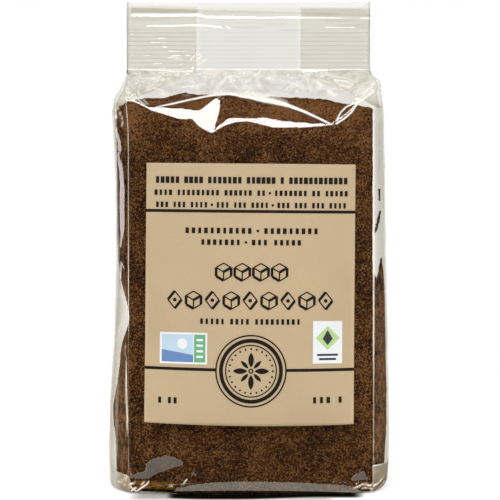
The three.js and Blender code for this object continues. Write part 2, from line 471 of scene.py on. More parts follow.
# white lines: creases where the film has turned white, and painted highlights
whiteLines = [
    (1.6, 0.5, [(-34.6, 141.4, 0.5), (-28.2, 142.8), (-22.6, 144.2), (-17, 145.4), (-10.7, 146.3)]),
    (1.6, 0.6, [(-10.7, 146.3), (-7, 146.6), (-4.1, 145.7, 0.8)]),
    (2.6, 1.3, [(-4.1, 145.7, 0.45), (-0.4, 145.3, 0.7), (4.1, 144.4), (7.8, 143.8, 1.1),
                (11.9, 142.7, 0.85), (14.5, 141.8, 0.6), (19.3, 139.9, 0.45), (23.7, 137.8, 0.35),
                (28.6, 135.3, 0.3)]),
    (0.35, 1.4, [(-2, 146.9), (4, 146), (9.5, 145), (13, 143.4, 0.6)]),
    (1.4, 0.4, [(38.6, 142.7), (37.3, 142.6), (34.9, 141.5), (32.9, 139.6), (31.2, 136.4)]),
    (1.5, 0.5, [(38.6, 142.4), (38.1, 141.6), (36.5, 139.3), (34.1, 137.2), (31.1, 135.3)]),
    (0.9, 0.36, [(38.6, 142.7), (41, 145.8), (44.1, 149), (46.8, 151.6)]),
    (0.6, 0.32, [(38.6, 142.2), (42, 145.4), (45, 148)]),
    (0.9, 0.5, [(-46, 144.9), (-42, 145), (-41, 143.8), (-38.9, 142)]),
    (0.5, 0.4, [(-41.6, 146.8), (-40.4, 145.2), (-38, 142.6)]),
    (1.5, 0.42, [(-44.4, 2.6), (-43.2, 1.6), (-42.2, 0.9)]),
    (1.5, 0.42, [(-44, 0.9), (-42.2, 2.1)]),
    (1.5, 0.45, [(-41.9, 0.9), (-40.1, 2.2), (-38.2, 3.5), (-37.3, 4.6, 0.6)]),
    (1.3, 0.45, [(-44.4, 3.3), (-42.7, 4)]),
    (1.1, 0.4, [(-40, 3.5), (-39, 4.4)]),
    (1.2, 0.4, [(-25, 3.7, 0.6), (-24.2, 5), (-23.3, 6)]),
    (0.9, 0.4, [(-30.1, 3), (-28.7, 3.4)]),
    (1.5, 0.42, [(37.4, 2.2, 0.5), (38.8, 2.6), (39.5, 2.9), (41, 3.6), (42.5, 3.4), (43.4, 2.7),
                 (44.3, 3.2)]),
    (0.9, 0.38, [(40.6, 2), (42.8, 2.2), (44.3, 1.6)]),
    (0.6, 0.32, [(38.2, 3.6, 0.6), (39.4, 4.3, 0.6)]),
    # painted highlights: the loop and the spots on the right of the neck
    (0.75, 0.5, [(31, 151.9), (34.2, 151.8), (37.9, 150.4), (36.8, 149.4), (33.4, 149.6), (31, 151.9)]),
    (0.9, 0.8, [(24.7, 150.9, 0.6), (26.4, 149.9)]),
    (0.95, 1.1, [(28.6, 147.6, 0.7), (29.9, 146.6), (30.8, 145.8, 0.7)]),
    (0.3, 1.9, [(-34, 155.4), (-27.8, 155)]),
    (1.3, 0.5, [(-31.2, 160.5, 0.6), (-28.5, 160.7), (-26.2, 160.4, 0.6)]),
    (1.2, 0.42, [(-22.7, 159.6), (-21.3, 161.2)]),
    (1.2, 0.42, [(-20.4, 159.5), (-18.6, 161.3)]),
    (0.9, 0.4, [(-18.4, 158.9), (-17, 160)]),
    (1.1, 0.42, [(-40.5, 0.5), (-34, 0.25), (-27.4, 0.3, 0.5)]),
]
# the folded edge of the sugar's side of the left wall
meander = [
    (7.2, 76.2, 0.7), (4.2, 74), (1.2, 69.8, 0.7), (0.6, 67.2, 0.7), (2.3, 63.9), (6.1, 60.1), (7.4, 54.9),
    (6.9, 44),
]
sideWhiteLines = dict(
    left=[
        # painted highlight: the upright line low by the crease
        (1.2, 0.42, [(1.5, 54, 0.6), (1.2, 47), (0.9, 36, 1.2), (0.6, 30), (0.5, 26), (0.4, 21, 0.4)]),
        (0.42, 1.6, [*meander, (6.6, 26, 0.6), (6.4, 12.7, 0.4)]),
        # painted highlights: slanting streaks near the top of the wall
        (0.6, 0.8, [(7.2, 142.4, 0.6), (4.6, 139), (2.4, 135.6, 0.6)]),
        (0.5, 0.9, [(3.9, 137.4, 0.6), (3.4, 134.6, 0.6)]),
        *crinkles(12, 6, (0.5, 1), (8, 5), 0.8, 0.35, 4),
    ],
    right=[
        (1.3, 0.36, [(0, 2.7), (2.5, 3.3), (6, 4.5), (8, 4.8, 0.5)]),
        (1.1, 0.3, [(1, 2), (3.5, 2.6, 0.6)]),
        (0.7, 0.32, [(2.5, 1.2), (5, 2), (8, 3, 0.5)]),
    ],
)
# how white the long creases are painted, as worn film and as painted highlight, and how widely, over height
creaseWearAndHighlight = dict(
    left=(
        curveOf((0, 0.1), (16, 0.2), (20, 0.1), (54, 0.1), (58, 0.3), (66, 0.6), (90, 0.7), (96, 0.4),
                (140, 0.45), (143, 0)),
        curveOf((0, 0.16), (60, 0.16), (90, 0.2), (143, 0.18)),
    ),
    right=(
        curveOf((0, 0.1), (18, 0.3), (36, 0.35), (44, 0.5), (54, 0.75), (78, 0.85), (84, 0.8), (138, 0.6),
                (142, 0)),
        curveOf((0, 0.2), (36, 0.22), (52, 0.36), (78, 0.4), (90, 0.42), (142, 0.35)),
    ),
)
# lines that look deeper in colour, where layers cling together or the film turns away, and painted shadow
# lines
deepLines = [
    (0.5, 1.2, [(-45, 152), (-37, 153.8), (-29.5, 156)]),
    (0.35, 0.9, [(-44, 148.6), (-36.3, 151), (-29, 154.6)]),
    (0.5, 0.7, [(-45, 150), (-41.8, 147.6), (-35.5, 150.3), (-32.7, 152.2)]),
    (0.35, 0.7, [(-41, 146), (-34, 148.5), (-31, 151)]),
    (0.35, 0.7, [(24, 150.6), (31, 148.6), (38, 145)]),
    (1.7, 0.5, [(-21.8, 155.5), (-20.9, 156.2)]),
    # painted shadow lines under the roof's left fold
    (1.8, 0.5, [(-37.6, 140.6), (-29.6, 137.8), (-25.9, 136.5), (-22, 136.6, 0.6)]),
    (1.9, 0.5, [(-19.6, 135.2, 0.6), (-18.6, 133.4), (-14.4, 131), (-11, 132.4), (-5.8, 135, 0.6)]),
    (1.35, 0.5, [(-26.5, 151.4), (-26.2, 151.7)]),
    (1.3, 0.5, [(-24.9, 150.3), (-24.7, 150.6)]),
    (1.5, 0.55, [(-9, 148.2), (-8.8, 148.7)]),
    (1.25, 0.6, [(-16.4, 148.2), (-14.2, 148.5)]),
    (1.3, 1.3, [(8, 154.6, 0.5), (18.3, 154.7), (23.4, 152.9), (31, 149.4), (36, 147), (39.8, 145.2, 0.6)]),
    (0.9, 0.8, [(-43, 147), (-37.4, 149.3), (-31.9, 152)]),
    (0.8, 0.7, [(-41.9, 149.6), (-36.8, 151.6), (-30, 153.6)]),
]
sideDeepLines = dict(
    left=[
        # painted shade: dark lines beside the left wall's highlights
        (2.0, 0.5, [(6.5, 143.4, 0.6), (4.2, 139.8), (1.4, 135.2), (1.2, 133, 0.6)]),
        (1.9, 0.5, [(8.6, 133.2, 0.6), (5.6, 129.4), (3.3, 124.6), (2.2, 122, 0.6)]),
        (1.9, 0.45, [(1.5, 124.4, 0.6), (1.2, 112), (1.3, 98), (1.9, 93.4, 0.6)]),
        (1.0, 1.6, [*meander, (6.6, 26), (6.4, 12.7)]),
    ],
    right=[],
)
# fine creases of the neck, deeper and whiter; the white ones are partly painted highlights
neckDeep = [(1.25 * h, 0.7, line) for h, _, line in crinkles(31, 80, (-44, 146.4), (44, 155.6), 1, 1, 10)]
neckWhite = [(0.4 * h, 0.5, line) for h, _, line in crinkles(32, 40, (-44, 147), (44, 155.8), 1, 1, 9)]


# How strongly the lines of a list act at each place.
def drawn(lines, x, z):
    out = np.zeros(np.broadcast(x, z).shape)
    for strength, halfWidth, points in lines:
        within = np.zeros(out.shape)
        for (x0, z0, *w0), (x1, z1, *w1) in zip(points, points[1:]):
            length = max((x1 - x0) ** 2 + (z1 - z0) ** 2, 1e-9)
            along = clamp(((x - x0) * (x1 - x0) + (z - z0) * (z1 - z0)) / length)
            wide = halfWidth * lerp(*(w[0] if w else 1 for w in (w0, w1)), along)
            away = np.hypot(x - x0 - along * (x1 - x0), z - z0 - along * (z1 - z0))
            within = np.maximum(within, 1 - away / wide)
        out = np.maximum(out, strength * within**1.3)
    return out


# Slow unevenness over a surface, from -1 to 1.
def uneven(x, z, size, seed):
    x, z = np.broadcast_arrays(x, z)
    flat = [noise.noise((a / size, seed * 7.3, b / size)) for a, b in zip(x.ravel(), z.ravel())]
    return np.array(flat).reshape(x.shape)


# The header's crimps, stronger where more layers lie together.
def ribs(x, z):
    pitch = (bag["crimpTop"] - bag["headerFoot"]) / bag["ribCount"]
    within = band(z, bag["headerFoot"], bag["headerFoot"] + 0.6, bag["crimpTop"] - 0.6, bag["crimpTop"])
    off = x - bag["headerShift"]
    layers = smooth(np.abs(off), 18.5, 20)
    seam = band(off, -9.5, -8.5, 2.5, 3.5)
    strength = np.maximum(np.maximum(layers, seam * 0.5), 0.25)
    strength = strength * (1 + 0.6 * uneven(x, z, 5, 17) * (off < 0))
    return film["ribHeight"] * strength * within * np.cos(2 * math.pi * (z - bag["headerFoot"]) / pitch)


def frontColumnsT():
    near = film["creaseStep"] * np.arange(1, 6) / (2 * bag["creaseX"])
    return np.unique(np.concatenate([np.linspace(0, 1, film["frontColumns"] + 1), near, 1 - near]))


def sideColumnsT():
    u = np.linspace(0, 1, film["sideColumns"] + 1)
    return u - np.sin(4 * math.pi * u) / (4 * math.pi) * 0.75


# All rows of the film, from the foot to the cut top: for each, the kind and its value.
def filmRows():
    def spaced(kind, low, high, count):
        return [(kind, value) for value in np.linspace(low, high, count + 1)[1:]]

    rows = [("foot", angle) for angle in np.linspace(0, math.pi / 2, film["footRows"])]
    rows += spaced("corner", 0, 1, film["cornerRows"])
    count = math.ceil((film["lowTop"] - film["cornerTop"]) / film["lowRow"])
    low, middle = film["cornerTop"] + count * film["lowRow"], bag["wallTop"] - 2
    rows += spaced("z", film["cornerTop"], low, count)
    rows += spaced("z", low, middle, int((middle - low) / film["wallRow"]))
    rows += spaced("z", middle, bag["headerFoot"], int((bag["headerFoot"] - middle) / film["roofRow"]))
    rows += spaced("z", bag["headerFoot"], bag["crimpTop"], bag["ribCount"] * film["rowsPerRib"])
    return rows + spaced("flap", 0, 1, film["flapRows"])


# How far the rounded foot has risen and stays drawn in, by the angle around its curve.
def footShape(side, t, angle):
    crease = bag["footRadius"]["crease"]
    radius = lerp(crease, bag["footRadius"][side], crown(t))
    return radius * (1 - math.cos(angle)), (radius - crease) * (1 - math.sin(angle))


# One side's part of a row of the foot, or of the corner zone above it, where the rows grow level.
def lowPanel(side, t, kind, value):
    angle = value if kind == "foot" else math.pi / 2
    z, inset = footShape(side, t, angle)
    if kind == "corner":
        z = lerp(z, film["cornerTop"], value)
    corner = bag["footRadius"]["crease"] * (1 - math.sin(angle))
    half, depth = bag["creaseX"] - corner, wallDepth(z if kind == "corner" else 0) - corner
    sign = 1 if side in ("right", "back") else -1
    if side in ("front", "back"):
        return [-sign * lerp(-half, half, t), sign * (depth + bag[side + "Bulge"] * crown(t) - inset), z]
    return [sign * (half + filmSide[side](z) * wallCrown(t) - inset), sign * lerp(-1, 1, t) * depth, z]


# The gusset folds in under the header: how far, and where its film lies from front to back.
def gusset(ts, z, inHeader):
    folded = clamp((z - bag["gussetRange"][0]) / (bag["gussetRange"][1] - bag["gussetRange"][0]))
    width = lerp(bag["gussetNarrow"], 1, folded)
    tuck = bag["gussetDepth"] * folded * np.maximum(0, 1 - np.abs(2 * ts - 1) / width)
    # across the header the gusset's two layers lie close to the front and the back
    layered = np.where(ts < 0.5, np.minimum(ts * 12, 0.62), 1 - np.minimum((1 - ts) * 12, 0.62))
    layered = np.where(np.abs(ts - 0.5) < 0.02, 0.5, layered)
    across = lerp(ts, 0.5 + (layered - 0.5) * 0.8 + (ts - 0.5) * 0.4, inHeader)
    return tuck, np.where(ts == 0, 0, np.where(ts == 1, 1, across))


# How deep the film stands before and behind the header's plane.
def filmDepths(z, tf, tb):
    share, half = bulgeShare(z), bag["headerThickness"] / 2
    if z <= bag["wallTop"]:
        bulges = ((bag["frontBulge"], tf), (bag["backBulge"], tb))
        return [wallDepth(z) + bulge * share * crown(t) for bulge, t in bulges]
    if z < bag["headerFoot"] - 1e-6:
        front = roofFront(lerp(-bag["creaseX"], bag["creaseX"], tf), np.full(tf.shape, z))
        return front, backRoof(z) + bag["backBulge"] * share * crown(tb)
    return np.full(tf.shape, half), np.full(tb.shape, half)


# A row of the film: the front, right, back and left, each as x, y and z.
def filmPanels(kind, value, tf, ts, tb):
    if kind in ("foot", "corner"):
        across = dict(front=tf, right=ts, back=tb, left=ts)
        return [lowPanel(side, t, kind, value) for side, t in across.items()]
    z = value if kind == "z" else bag["crimpTop"]
    rise = smooth(z, bag["wallTop"], bag["headerFoot"])
    middle, halfWidth = bag["headerShift"] * rise, lerp(bag["creaseX"], bag["headerX"], rise)
    width, height, spread = bag["shoulder"]
    x0, x1 = middle - halfWidth, middle + halfWidth + width * math.exp(-(((z - height) / spread) ** 2))
    depthF, depthB = filmDepths(z, tf, tb)
    inHeader = smooth(z, bag["headerFoot"] - 2.5, bag["headerFoot"])
    tuck, across = gusset(ts, z, inHeader)
    right, left = (filmSide[side](z) * wallCrown(ts) * (1 - inHeader) - tuck for side in ("right", "left"))
    panels = [
        [lerp(x0, x1, tf), -depthF, np.full(tf.shape, z)],
        [x1 + right, lerp(-depthF[-1], depthB[0], across), np.full(ts.shape, z)],
        [lerp(x1, x0, tb), depthB, np.full(tb.shape, z)],
        [x0 - left, lerp(depthB[-1], -depthF[0], 1 - across[::-1]), np.full(ts.shape, z)],
    ]
    if kind == "flap":
        half = bag["headerThickness"] / 2
        for panel in panels:
            along = (panel[0] - x0) / (x1 - x0)
            toBack = clamp((panel[1] + half) / (2 * half))
            top = lerp(lerp(*bag["frontTop"], along), bag["backTop"], toBack)
            panel[2] = lerp(bag["crimpTop"], top, value)
            sway = bag["sway"] * value**2 * np.cos(math.pi * along)
            panel[1] = panel[1] * (1 + bag["flapApart"] * value) + sway
    return panels


# How far the front stands out from its plain shape.
def frontLift(x, z, edge):
    lift = drawn(frontWrinkles, x, z)
    body = 1 - smooth(z, bag["headerFoot"] - 4, bag["headerFoot"])
    lift += film["creaseBead"] * np.exp(-((edge / 0.42) ** 2)) * body * smooth(z, 2, 8)
    labelX, labelZ = labelLook["centre"]
    besideLabel = smooth(np.abs(x - labelX), 36, 40) + smooth(np.abs(z - labelZ), 46, 50)
    slow = uneven(x, z, 17, 1) * 0.16 + uneven(x, z, 6, 2) * 0.05
    slow *= 1 - band(z, 130, 133, 137.5, 140) * band(x, 0, 5, 30, 35)  # the middle facet is taut
    lift += slow * clamp(besideLabel) * smooth(edge, 0, 6) * smooth(z, 1, 6)
    lift += ribs(x, z) + slackFront(x, z) * (z < slack["top"])
    return lift * smooth(z, 0.0, 1.2)


# Three marks go with the film: wearAndHighlight is white, worn film and painted highlights; deep is darker
# and past 1 stained, painted shadow lines too; and dull doesn't shine.
def frontMarks(x, z, left, right):
    neck, below = band(z, 145, 147, 155.4, 156.2), 1 - smooth(z, 155.4, 156.4)
    wearAndHighlight = [drawn(whiteLines, x, z), below * drawn(neckWhite, x, z)]
    wearAndHighlight.append(neck * smooth(uneven(x * 0.8, z, 2.1, 62), 0.15, 0.6) * 0.24)
    for side, edge in (("left", left), ("right", right)):
        strength, width = (curve(z) for curve in creaseWearAndHighlight[side])
        streak = 0.8 + 0.4 * uneven(x * 0, z, 5, 5 + (side == "left"))
        wearAndHighlight.append(clamp(strength * streak * (1 - (edge / width) ** 2)))
    ribbed = ribs(x, z) / film["ribHeight"]
    patchy = uneven(x, z * 1.3, 3.4, 61) + 0.6 * uneven(x, z, 1.5, 63)
    flapLines = smooth(uneven(x * 0.06, z, 0.9, 51), 0, 0.4) * (z > bag["crimpTop"] - 0.3)
    atCrease = np.abs(x) > bag["creaseX"] - 0.75
    deep = [
        drawn(deepLines, x, z),
        clamp(-ribbed) * 0.8,
        clamp(ribbed**2) * 0.25,
        below * drawn(neckDeep, x, z),
        neck * smooth(patchy, 0, 0.5) * np.where(x < -18, 0.7, 0.9),
        smooth(z, 177, 177.4) * np.where(x < -19.6, 1.25, 0.4) * (x > -45),
        flapLines * np.where(x < -19.6, 0.5, 0.6),
        1.75 * anyInside(slack["facets"][:3], x, z),
        2.0 * atCrease * (z < np.where(x > 0, 10.4, 6.5)),
    ]
    corner = (x > 42.3) | (x > 40.6) & (z > 9.4)
    return np.maximum.reduce(wearAndHighlight), np.maximum.reduce(deep), 0.9 * (corner & (z < 14.5) | (z < 0.6))


def sideLift(side, depth, z):
    out = drawn(sideWrinkles[side], depth, z) + uneven(depth, z, 9, 3 + (side == "left")) * 0.2
    out *= crown(depth / wall["depth"]) ** 0.4 * band(z, 0, 6, 148, 155)
    if side == "left":
        out += np.where((z > wall["range"][0]) & (z < wall["range"][1]), wallLeft(depth, z), 0)
    return out


def sideMarks(side, depth, z):
    left = side == "left"
    strength, width = (curve(z) for curve in creaseWearAndHighlight[side])
    wearAndHighlight = np.maximum(drawn(sideWhiteLines[side], depth, z), strength * (1 - (depth / width / 1.6) ** 2))
    haze = (0.016 + 0.008 * uneven(depth * 8, z, 12, 43)) * (z > 9) * smooth(depth, 0.3, 1.5)
    # the gusset's middle fold shows pale
    fold = (0.34 if left else 0.14) * clamp(1 - np.abs(depth - wall["depth"] / 2) / 14)
    haze = np.maximum(haze * (1 - smooth(z, 74, 86)), fold * band(z, 10, 16, 134, 140))
    streaks = smooth(uneven(depth * 6, z, 14, 41), -0.1, 0.5) * (z > 8) * (z < bag["headerFoot"] - 6) * 0.1
    streaks = np.maximum(streaks, drawn(sideDeepLines[side], depth, z))
    if left:  # the foot's stain climbs away from the crease and pales, and the wall is clean half way up
        stain = (1 - smooth(z - depth * 0.35, 5.4, 7.4)) * lerp(1.95, 0.9, smooth(depth, 2.5, 8))
        clean = 0.8 * band(z, 50, 58, 76, 82)
        dull = np.where(z < 74, 0.55, 0.55 * smooth(depth, 8, 12))
    else:
        stain = (1 - smooth(z, 9.6, 10.4)) * 1.95
        clean = 0.25 * band(z, 78, 82, 138, 142)
        dull = 0.55 * smooth(depth, 3, 6)
    deep = np.maximum(stain * (1 - smooth(depth, 22, 34)), streaks - clean * (streaks < 0.3))
    dull = np.maximum(dull, 0.85 * smooth(z, 139, 144)) * (1 - smooth(z, 154, 156))
    return np.maximum(clamp(wearAndHighlight), haze), deep, dull


def backLift(x, z):
    edge = clamp(np.abs(x[:, :1] - x) * np.abs(x - x[:, -1:]) / 400)
    return uneven(x, z, 19, 9) * 0.3 * edge * band(z, 1, 8, 150, 156) - ribs(x, z)


def objectOf(name, data):
    made = bpy.data.objects.new(name, data)
    bpy.context.scene.collection.objects.link(made)
    return made


def meshOf(name, points, faces, smoothly=True):
    mesh = bpy.data.meshes.new(name)
    mesh.from_pydata([tuple(p) for p in toScene(points)], [], [tuple(int(i) for i in f) for f in faces])
    mesh.validate()
    mesh.update()
    mesh.polygons.foreach_set("use_smooth", [smoothly] * len(mesh.polygons))
    return objectOf(name, mesh)


def place(piece, node, look):
    piece.data.materials.clear()
    piece.data.materials.append(look)
    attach(piece, "root")
    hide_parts(node)
    return piece


# The faces of a grid of points whose rows run all the way around.
def wallFaces(rows, around):
    i, j = np.arange(rows - 1)[:, None] * around, np.arange(around)[None, :]
    a, b = i + j, i + (j + 1) % around
    return np.stack([a, b, b + around, a + around], -1).reshape(-1, 4)


# The film is rows of places around, closed below by rings that draw in to a line. It also gives the
# right wall's points, from the front crease backwards.
def makeFilm():
    tf, ts, tb = frontColumnsT(), sideColumnsT(), np.linspace(0, 1, film["backColumns"] + 1)
    rows = [filmPanels(kind, value, tf, ts, tb) for kind, value in filmRows()]
    rows = [[np.stack(np.broadcast_arrays(*panel), -1)[:-1] for panel in row] for row in rows]
    grid = np.array([np.concatenate(row) for row in rows])
    around = grid.shape[1]
    first = np.cumsum([len(panel) for panel in rows[0]])  # where the right, the back and the left begin
    front, back = slice(0, len(tf)), slice(first[1], first[2])
    right, left = (start + np.arange(len(ts)) for start in (first[0], first[2]))
    wearAndHighlight, deep, dull = np.zeros((3, *grid.shape[:2]))

    x, z = grid[:, front, 0], grid[:, front, 2]
    fromLeft, fromRight = x - x[:, :1], x[:, -1:] - x
    grid[:, front, 1] -= frontLift(x, z, np.minimum(fromLeft, fromRight))
    wearAndHighlight[:, front], deep[:, front], dull[:, front] = frontMarks(x, z, fromLeft, fromRight)
    wearAndHighlight[-1] = np.maximum(wearAndHighlight[-1], 0.3)  # the cut edge, painted as a highlight line
    for side, columns, depth, sign in (("right", right, ts, 1), ("left", left % around, 1 - ts, -1)):
        z = grid[:, columns, 2]
        depth = depth * wall["depth"] + 0 * z
        grid[:, columns[1:-1], 0] += sign * sideLift(side, depth, z)[:, 1:-1]
        white, deep[:, columns], dull[:, columns] = sideMarks(side, depth, z)
        wearAndHighlight[:, columns] = np.maximum(wearAndHighlight[:, columns], white)
    beside = np.arange(-2, 3)  # the columns at a crease
    dull[:, beside] = 0.8 * (grid[:, beside, 2] < 60)
    beside = beside + first[0]
    dull[:, beside] = np.maximum(dull[:, beside], 0.8 * (grid[:, beside, 2] < 11))
    x, z = grid[:, back, 0], grid[:, back, 2]
    grid[:, back, 1] += backLift(x, z)
    deep[:, back] = band(z, 176.2, 176.6, 179, 179.4) * np.where(x < 18, 0.5, 1.1) * (x > -19)

    x, y = grid[0, :, 0], grid[0, :, 1]
    inner = clamp(x, -film["baseLine"], film["baseLine"])
    rings = [np.stack([lerp(inner, x, share), y * share, 0 * x], -1) for share in film["baseRings"]]
    levels = np.concatenate([rings, grid])
    faces = [*wallFaces(len(levels), around), range(around)[::-1]]
    piece = meshOf("bag-film", levels.reshape(-1, 3), faces)
    for name, field in (("wearAndHighlight", wearAndHighlight), ("deep", deep), ("dull", dull)):
        marks = piece.data.attributes.new(name, "FLOAT", "POINT")
        marks.data.foreach_set("value", np.concatenate([np.zeros(len(rings) * around), field.ravel()]))
    return piece, grid[:, right[:-1]]


# Shader maths: a value on its way between nodes, with plain arithmetic.
class Wire:
    def __init__(self, nodes, socket):
        self.nodes, self.socket = nodes, socket

    def __add__(self, other):
        return self.nodes.math("ADD", self, other)

    def __sub__(self, other):
        return self.nodes.math("SUBTRACT", self, other)

    def __rsub__(self, other):
        return self.nodes.math("SUBTRACT", other, self)

    def __mul__(self, other):
        return self.nodes.math("MULTIPLY", self, other)

    def __truediv__(self, other):
        return self.nodes.math("DIVIDE", self, other)

    def __pow__(self, other):
        return self.nodes.math("POWER", self, other)

    def __abs__(self):
        return self.nodes.math("ABSOLUTE", self)

    __radd__, __rmul__ = __add__, __mul__

    def atLeast(self, other):
        return self.nodes.math("MAXIMUM", self, other)

    def atMost(self, other):
        return self.nodes.math("MINIMUM", self, other)

    def step(self, low, high, first=0.0, last=1.0):
        values = {0: self, 1: low, 2: high, 3: first, 4: last}
        return self.nodes.add("ShaderNodeMapRange", {"interpolation_type": "SMOOTHSTEP"}, values)


# A tree of nodes: of a material, the world or a modifier.
class Nodes:
    def __init__(self, tree):
        self.tree = tree
        tree.nodes.clear()

    def add(self, kind, settings=None, values=None, output=0):
        node = self.tree.nodes.new(kind)
        for key, value in (settings or {}).items():
            setattr(node, key, value)
        for key, value in (values or {}).items():
            slot = node.inputs[key]
            if isinstance(value, Wire):
                self.tree.links.new(value.socket, slot)
            elif slot.type == "RGBA":
                slot.default_value = (*value, 1)
            else:
                slot.default_value = value
        return Wire(self, node.outputs[output]) if node.outputs else None

    def math(self, operation, *values):
        return self.add("ShaderNodeMath", {"operation": operation}, dict(enumerate(values)))


class Look(Nodes):
    def __init__(self, name):
        self.material = bpy.data.materials.new(name)
        self.material.use_nodes = True
        super().__init__(self.material.node_tree)
        self.place = self.add("ShaderNodeTexCoord", output="Object")

    def axis(self, index):
        return self.add("ShaderNodeSeparateXYZ", None, {0: self.place}, index)

    def mark(self, name, output="Fac"):
        return self.add("ShaderNodeAttribute", {"attribute_name": name}, None, output)

    def noise(self, size, detail=2, roughness=0.5):
        values = {"Vector": self.place, "Scale": 1 / size, "Detail": detail, "Roughness": roughness}
        return self.add("ShaderNodeTexNoise", None, values)

    def cells(self, size, output):
        return self.add("ShaderNodeTexVoronoi", None, {"Vector": self.place, "Scale": 1 / size}, output)

    def mix(self, factor, first, second):
        return self.add("ShaderNodeMix", {"data_type": "RGBA"}, {0: factor, 6: first, 7: second}, 2)

    def bump(self, height, depth, **values):
        values = {"Height": height, "Distance": depth, "Strength": 1, **values}
        return self.add("ShaderNodeBump", None, values)

    def shader(self, kind, **values):
        return self.add("ShaderNode" + kind, None, values)

    def blend(self, factor, first, second):
        return self.add("ShaderNodeMixShader", None, {0: factor, 1: first, 2: second})

    def finish(self, surface):
        self.add("ShaderNodeOutputMaterial", None, {"Surface": surface})
        return self.material

    def paint(self, color, roughness, specular, **values):
        values = {"Base Color": color, "Roughness": roughness, "Specular IOR Level": specular, **values}
        return self.finish(self.add("ShaderNodeBsdfPrincipled", None, values))


def filmLook():
    look = Look("film")
    height, across = look.axis(2) * 1000, look.axis(0) * 1000 - (middleX + bag["headerShift"])
    wearAndHighlight, deep, dull = (look.mark(name) for name in ("wearAndHighlight", "deep", "dull"))
    facing = look.add("ShaderNodeLayerWeight", None, {"Blend": 0.5}, "Facing")
    once = 0.04 + facing**5 * 0.96
    both = once * 2 / (once + 1)  # the two faces of a thin film together
    layers = (across * across).step(18.2**2, 18.8**2)
    fused = height.step(155.9, 156.6) * (layers * 0.45 + 0.1)
    slant = facing.step(0.35, 0.95) * (1 - height.step(149, 156))
    tints = (film[name] for name in ("tint", "deepTint", "stain"))
    straight, deeper, stained = (look.shader("BsdfTransparent", Color=tint) for tint in tints)
    clear = look.blend(1 - (1 - slant) * (1 - deep), straight, deeper)
    clear = look.blend(deep - 1, clear, stained)
    fine = look.bump(look.noise(0.004, 3), 0.00003)
    gloss = look.shader("BsdfGlossy", Color=(1, 1, 1), Roughness=film["roughness"], Normal=fine)
    glossy = look.blend(both * (1 - fused) * (1 - dull), clear, gloss)
    wearAndHighlightShader = look.shader("BsdfDiffuse", Color=look.mix(height.step(122, 140), film["wearAndHighlightLow"], film["wearAndHighlight"]))
    patchiness = look.noise(0.0016, 2).step(0.25, 0.6)
    return look.finish(look.blend(wearAndHighlight * (patchiness * 0.3 + 0.7), glossy, wearAndHighlightShader))


def sugarLook():
    look = Look("sugar")
    height, across = look.axis(2), look.axis(0) - middleX / 1000
    tones = look.add("ShaderNodeSeparateColor", None, {0: look.cells(sugar["grain"], "Color")})
    beside = abs(across).step(0.0446, 0.0462)
    # painted light: paler at the top, where light from above falls, and paler at the sides lower down
    litTopPaleSides = height.step(0.124, 0.142) * 0.26 + beside * (1 - height.step(0.09, 0.1)) * 0.15
    lumpy = (look.noise(0.0026, 2, 0.6).step(0.35, 0.65) - 0.5) * beside * 0.5
    clumps, fine = look.noise(0.012, 4, 0.7).step(0.3, 0.7), look.noise(0.0007, 2, 0.6).step(0.3, 0.7)
    tone = clumps * 0.28 + tones * 0.64 + fine * 0.38 - 0.165 + litTopPaleSides + lumpy
    color = look.mix(tone.step(0.15, 0.5), sugar["dark"], sugar["color"])
    color = look.mix(tone.step(0.5, 0.9), color, sugar["light"])
    # painted light low at the left, where a fold lets light in, above a painted line of shade
    lit = look.noise(0.0014, 3).step(0.3, 0.58) * (1 - height.step(0.0039, 0.0053)) * 0.95
    lit = lit * (across + 0.0435).step(0, 0.002) * (1 - (across + 0.0265).step(-0.002, 0))
    color = look.mix(lit * height.step(0.0014, 0.0022), color, sugar["lit"])
    color = look.mix(lit * (1 - height.step(0.0014, 0.0022)), color, sugar["dark"])
    lumps = look.bump(look.noise(0.0022, 2, 0.6), 0.0007)
    grainy = look.bump(look.cells(sugar["grain"], "Distance"), -0.00025, Normal=lumps)
    return look.paint(color, 0.82 - tones.step(0.9, 1) * 0.4, 0.08, Normal=grainy)


def paperLook():
    look = Look("label_paper")
    fibre, base = look.noise(0.0006, 3, 0.7), labelLook["paper"]
    tone = fibre * 0.6 + look.noise(0.02, 2) * 0.4
    color = look.mix(tone.step(0.3, 0.7), [c * 0.95 for c in base], [c * 1.05 for c in base])
    return look.paint(color, 0.75, 0.3, Normal=look.bump(fibre, 0.00002))


def inkLook():
    look = Look("ink")
    thin, base = look.noise(0.0005, 2), labelLook["ink"]
    color = look.mix(thin.step(0.35, 0.8), base, [c * 2.2 for c in base])
    return look.paint(color, 0.55 + thin * 0.2, 0.12)


def stickerLook():
    look = Look("sticker")
    fibre = look.noise(0.0006, 3, 0.7).step(0.3, 0.7)
    return look.paint(look.mix(fibre * 0.06, look.mark("tint", "Color"), (0.5, 0.5, 0.5)), 0.45, 0.5)


filmPiece, rightWall = makeFilm()
place(filmPiece, "bag", filmLook())
print("film made")


def sugarTop(x):
    line = [
        (-45, 143.6), (-42, 144.2), (-35.3, 143.4), (-30, 144.9), (-24.4, 146), (-17, 145.3), (-9, 145.2),
        (-4, 144.6), (0, 144.2), (4, 143.9), (6.4, 144.4), (8, 144.8), (14.5, 144.4), (20, 144.4),
        (25.6, 143.8), (32.7, 142.6), (38.2, 141.4), (45, 141),
    ]
    return np.interp(x, *np.array(line).T)


# How far below the roof's film a point lies, to the front or the back.
def slackOver(p):
    z = np.array([max(p.z, bag["wallTop"] + 0.001)])
    front = roofFront(np.array([p.x - middleX]), z)[0] + p.y - headerPlane
    back = backRoof(z)[0] + bag["backBulge"] * bulgeShare(z)[0] * 0.6 - (p.y - headerPlane)
    return float(min(front, back))


# How far the sugar draws in where its foot is rounded as the film's is.
def sugarFoot(side, t, z):
    radius = lerp(bag["footRadius"]["crease"], bag["footRadius"][side], crown(t))
    under = clamp(1 - (z - 0.3) / radius)
    return radius * (1 - np.sqrt(1 - under**2 * 0.998))


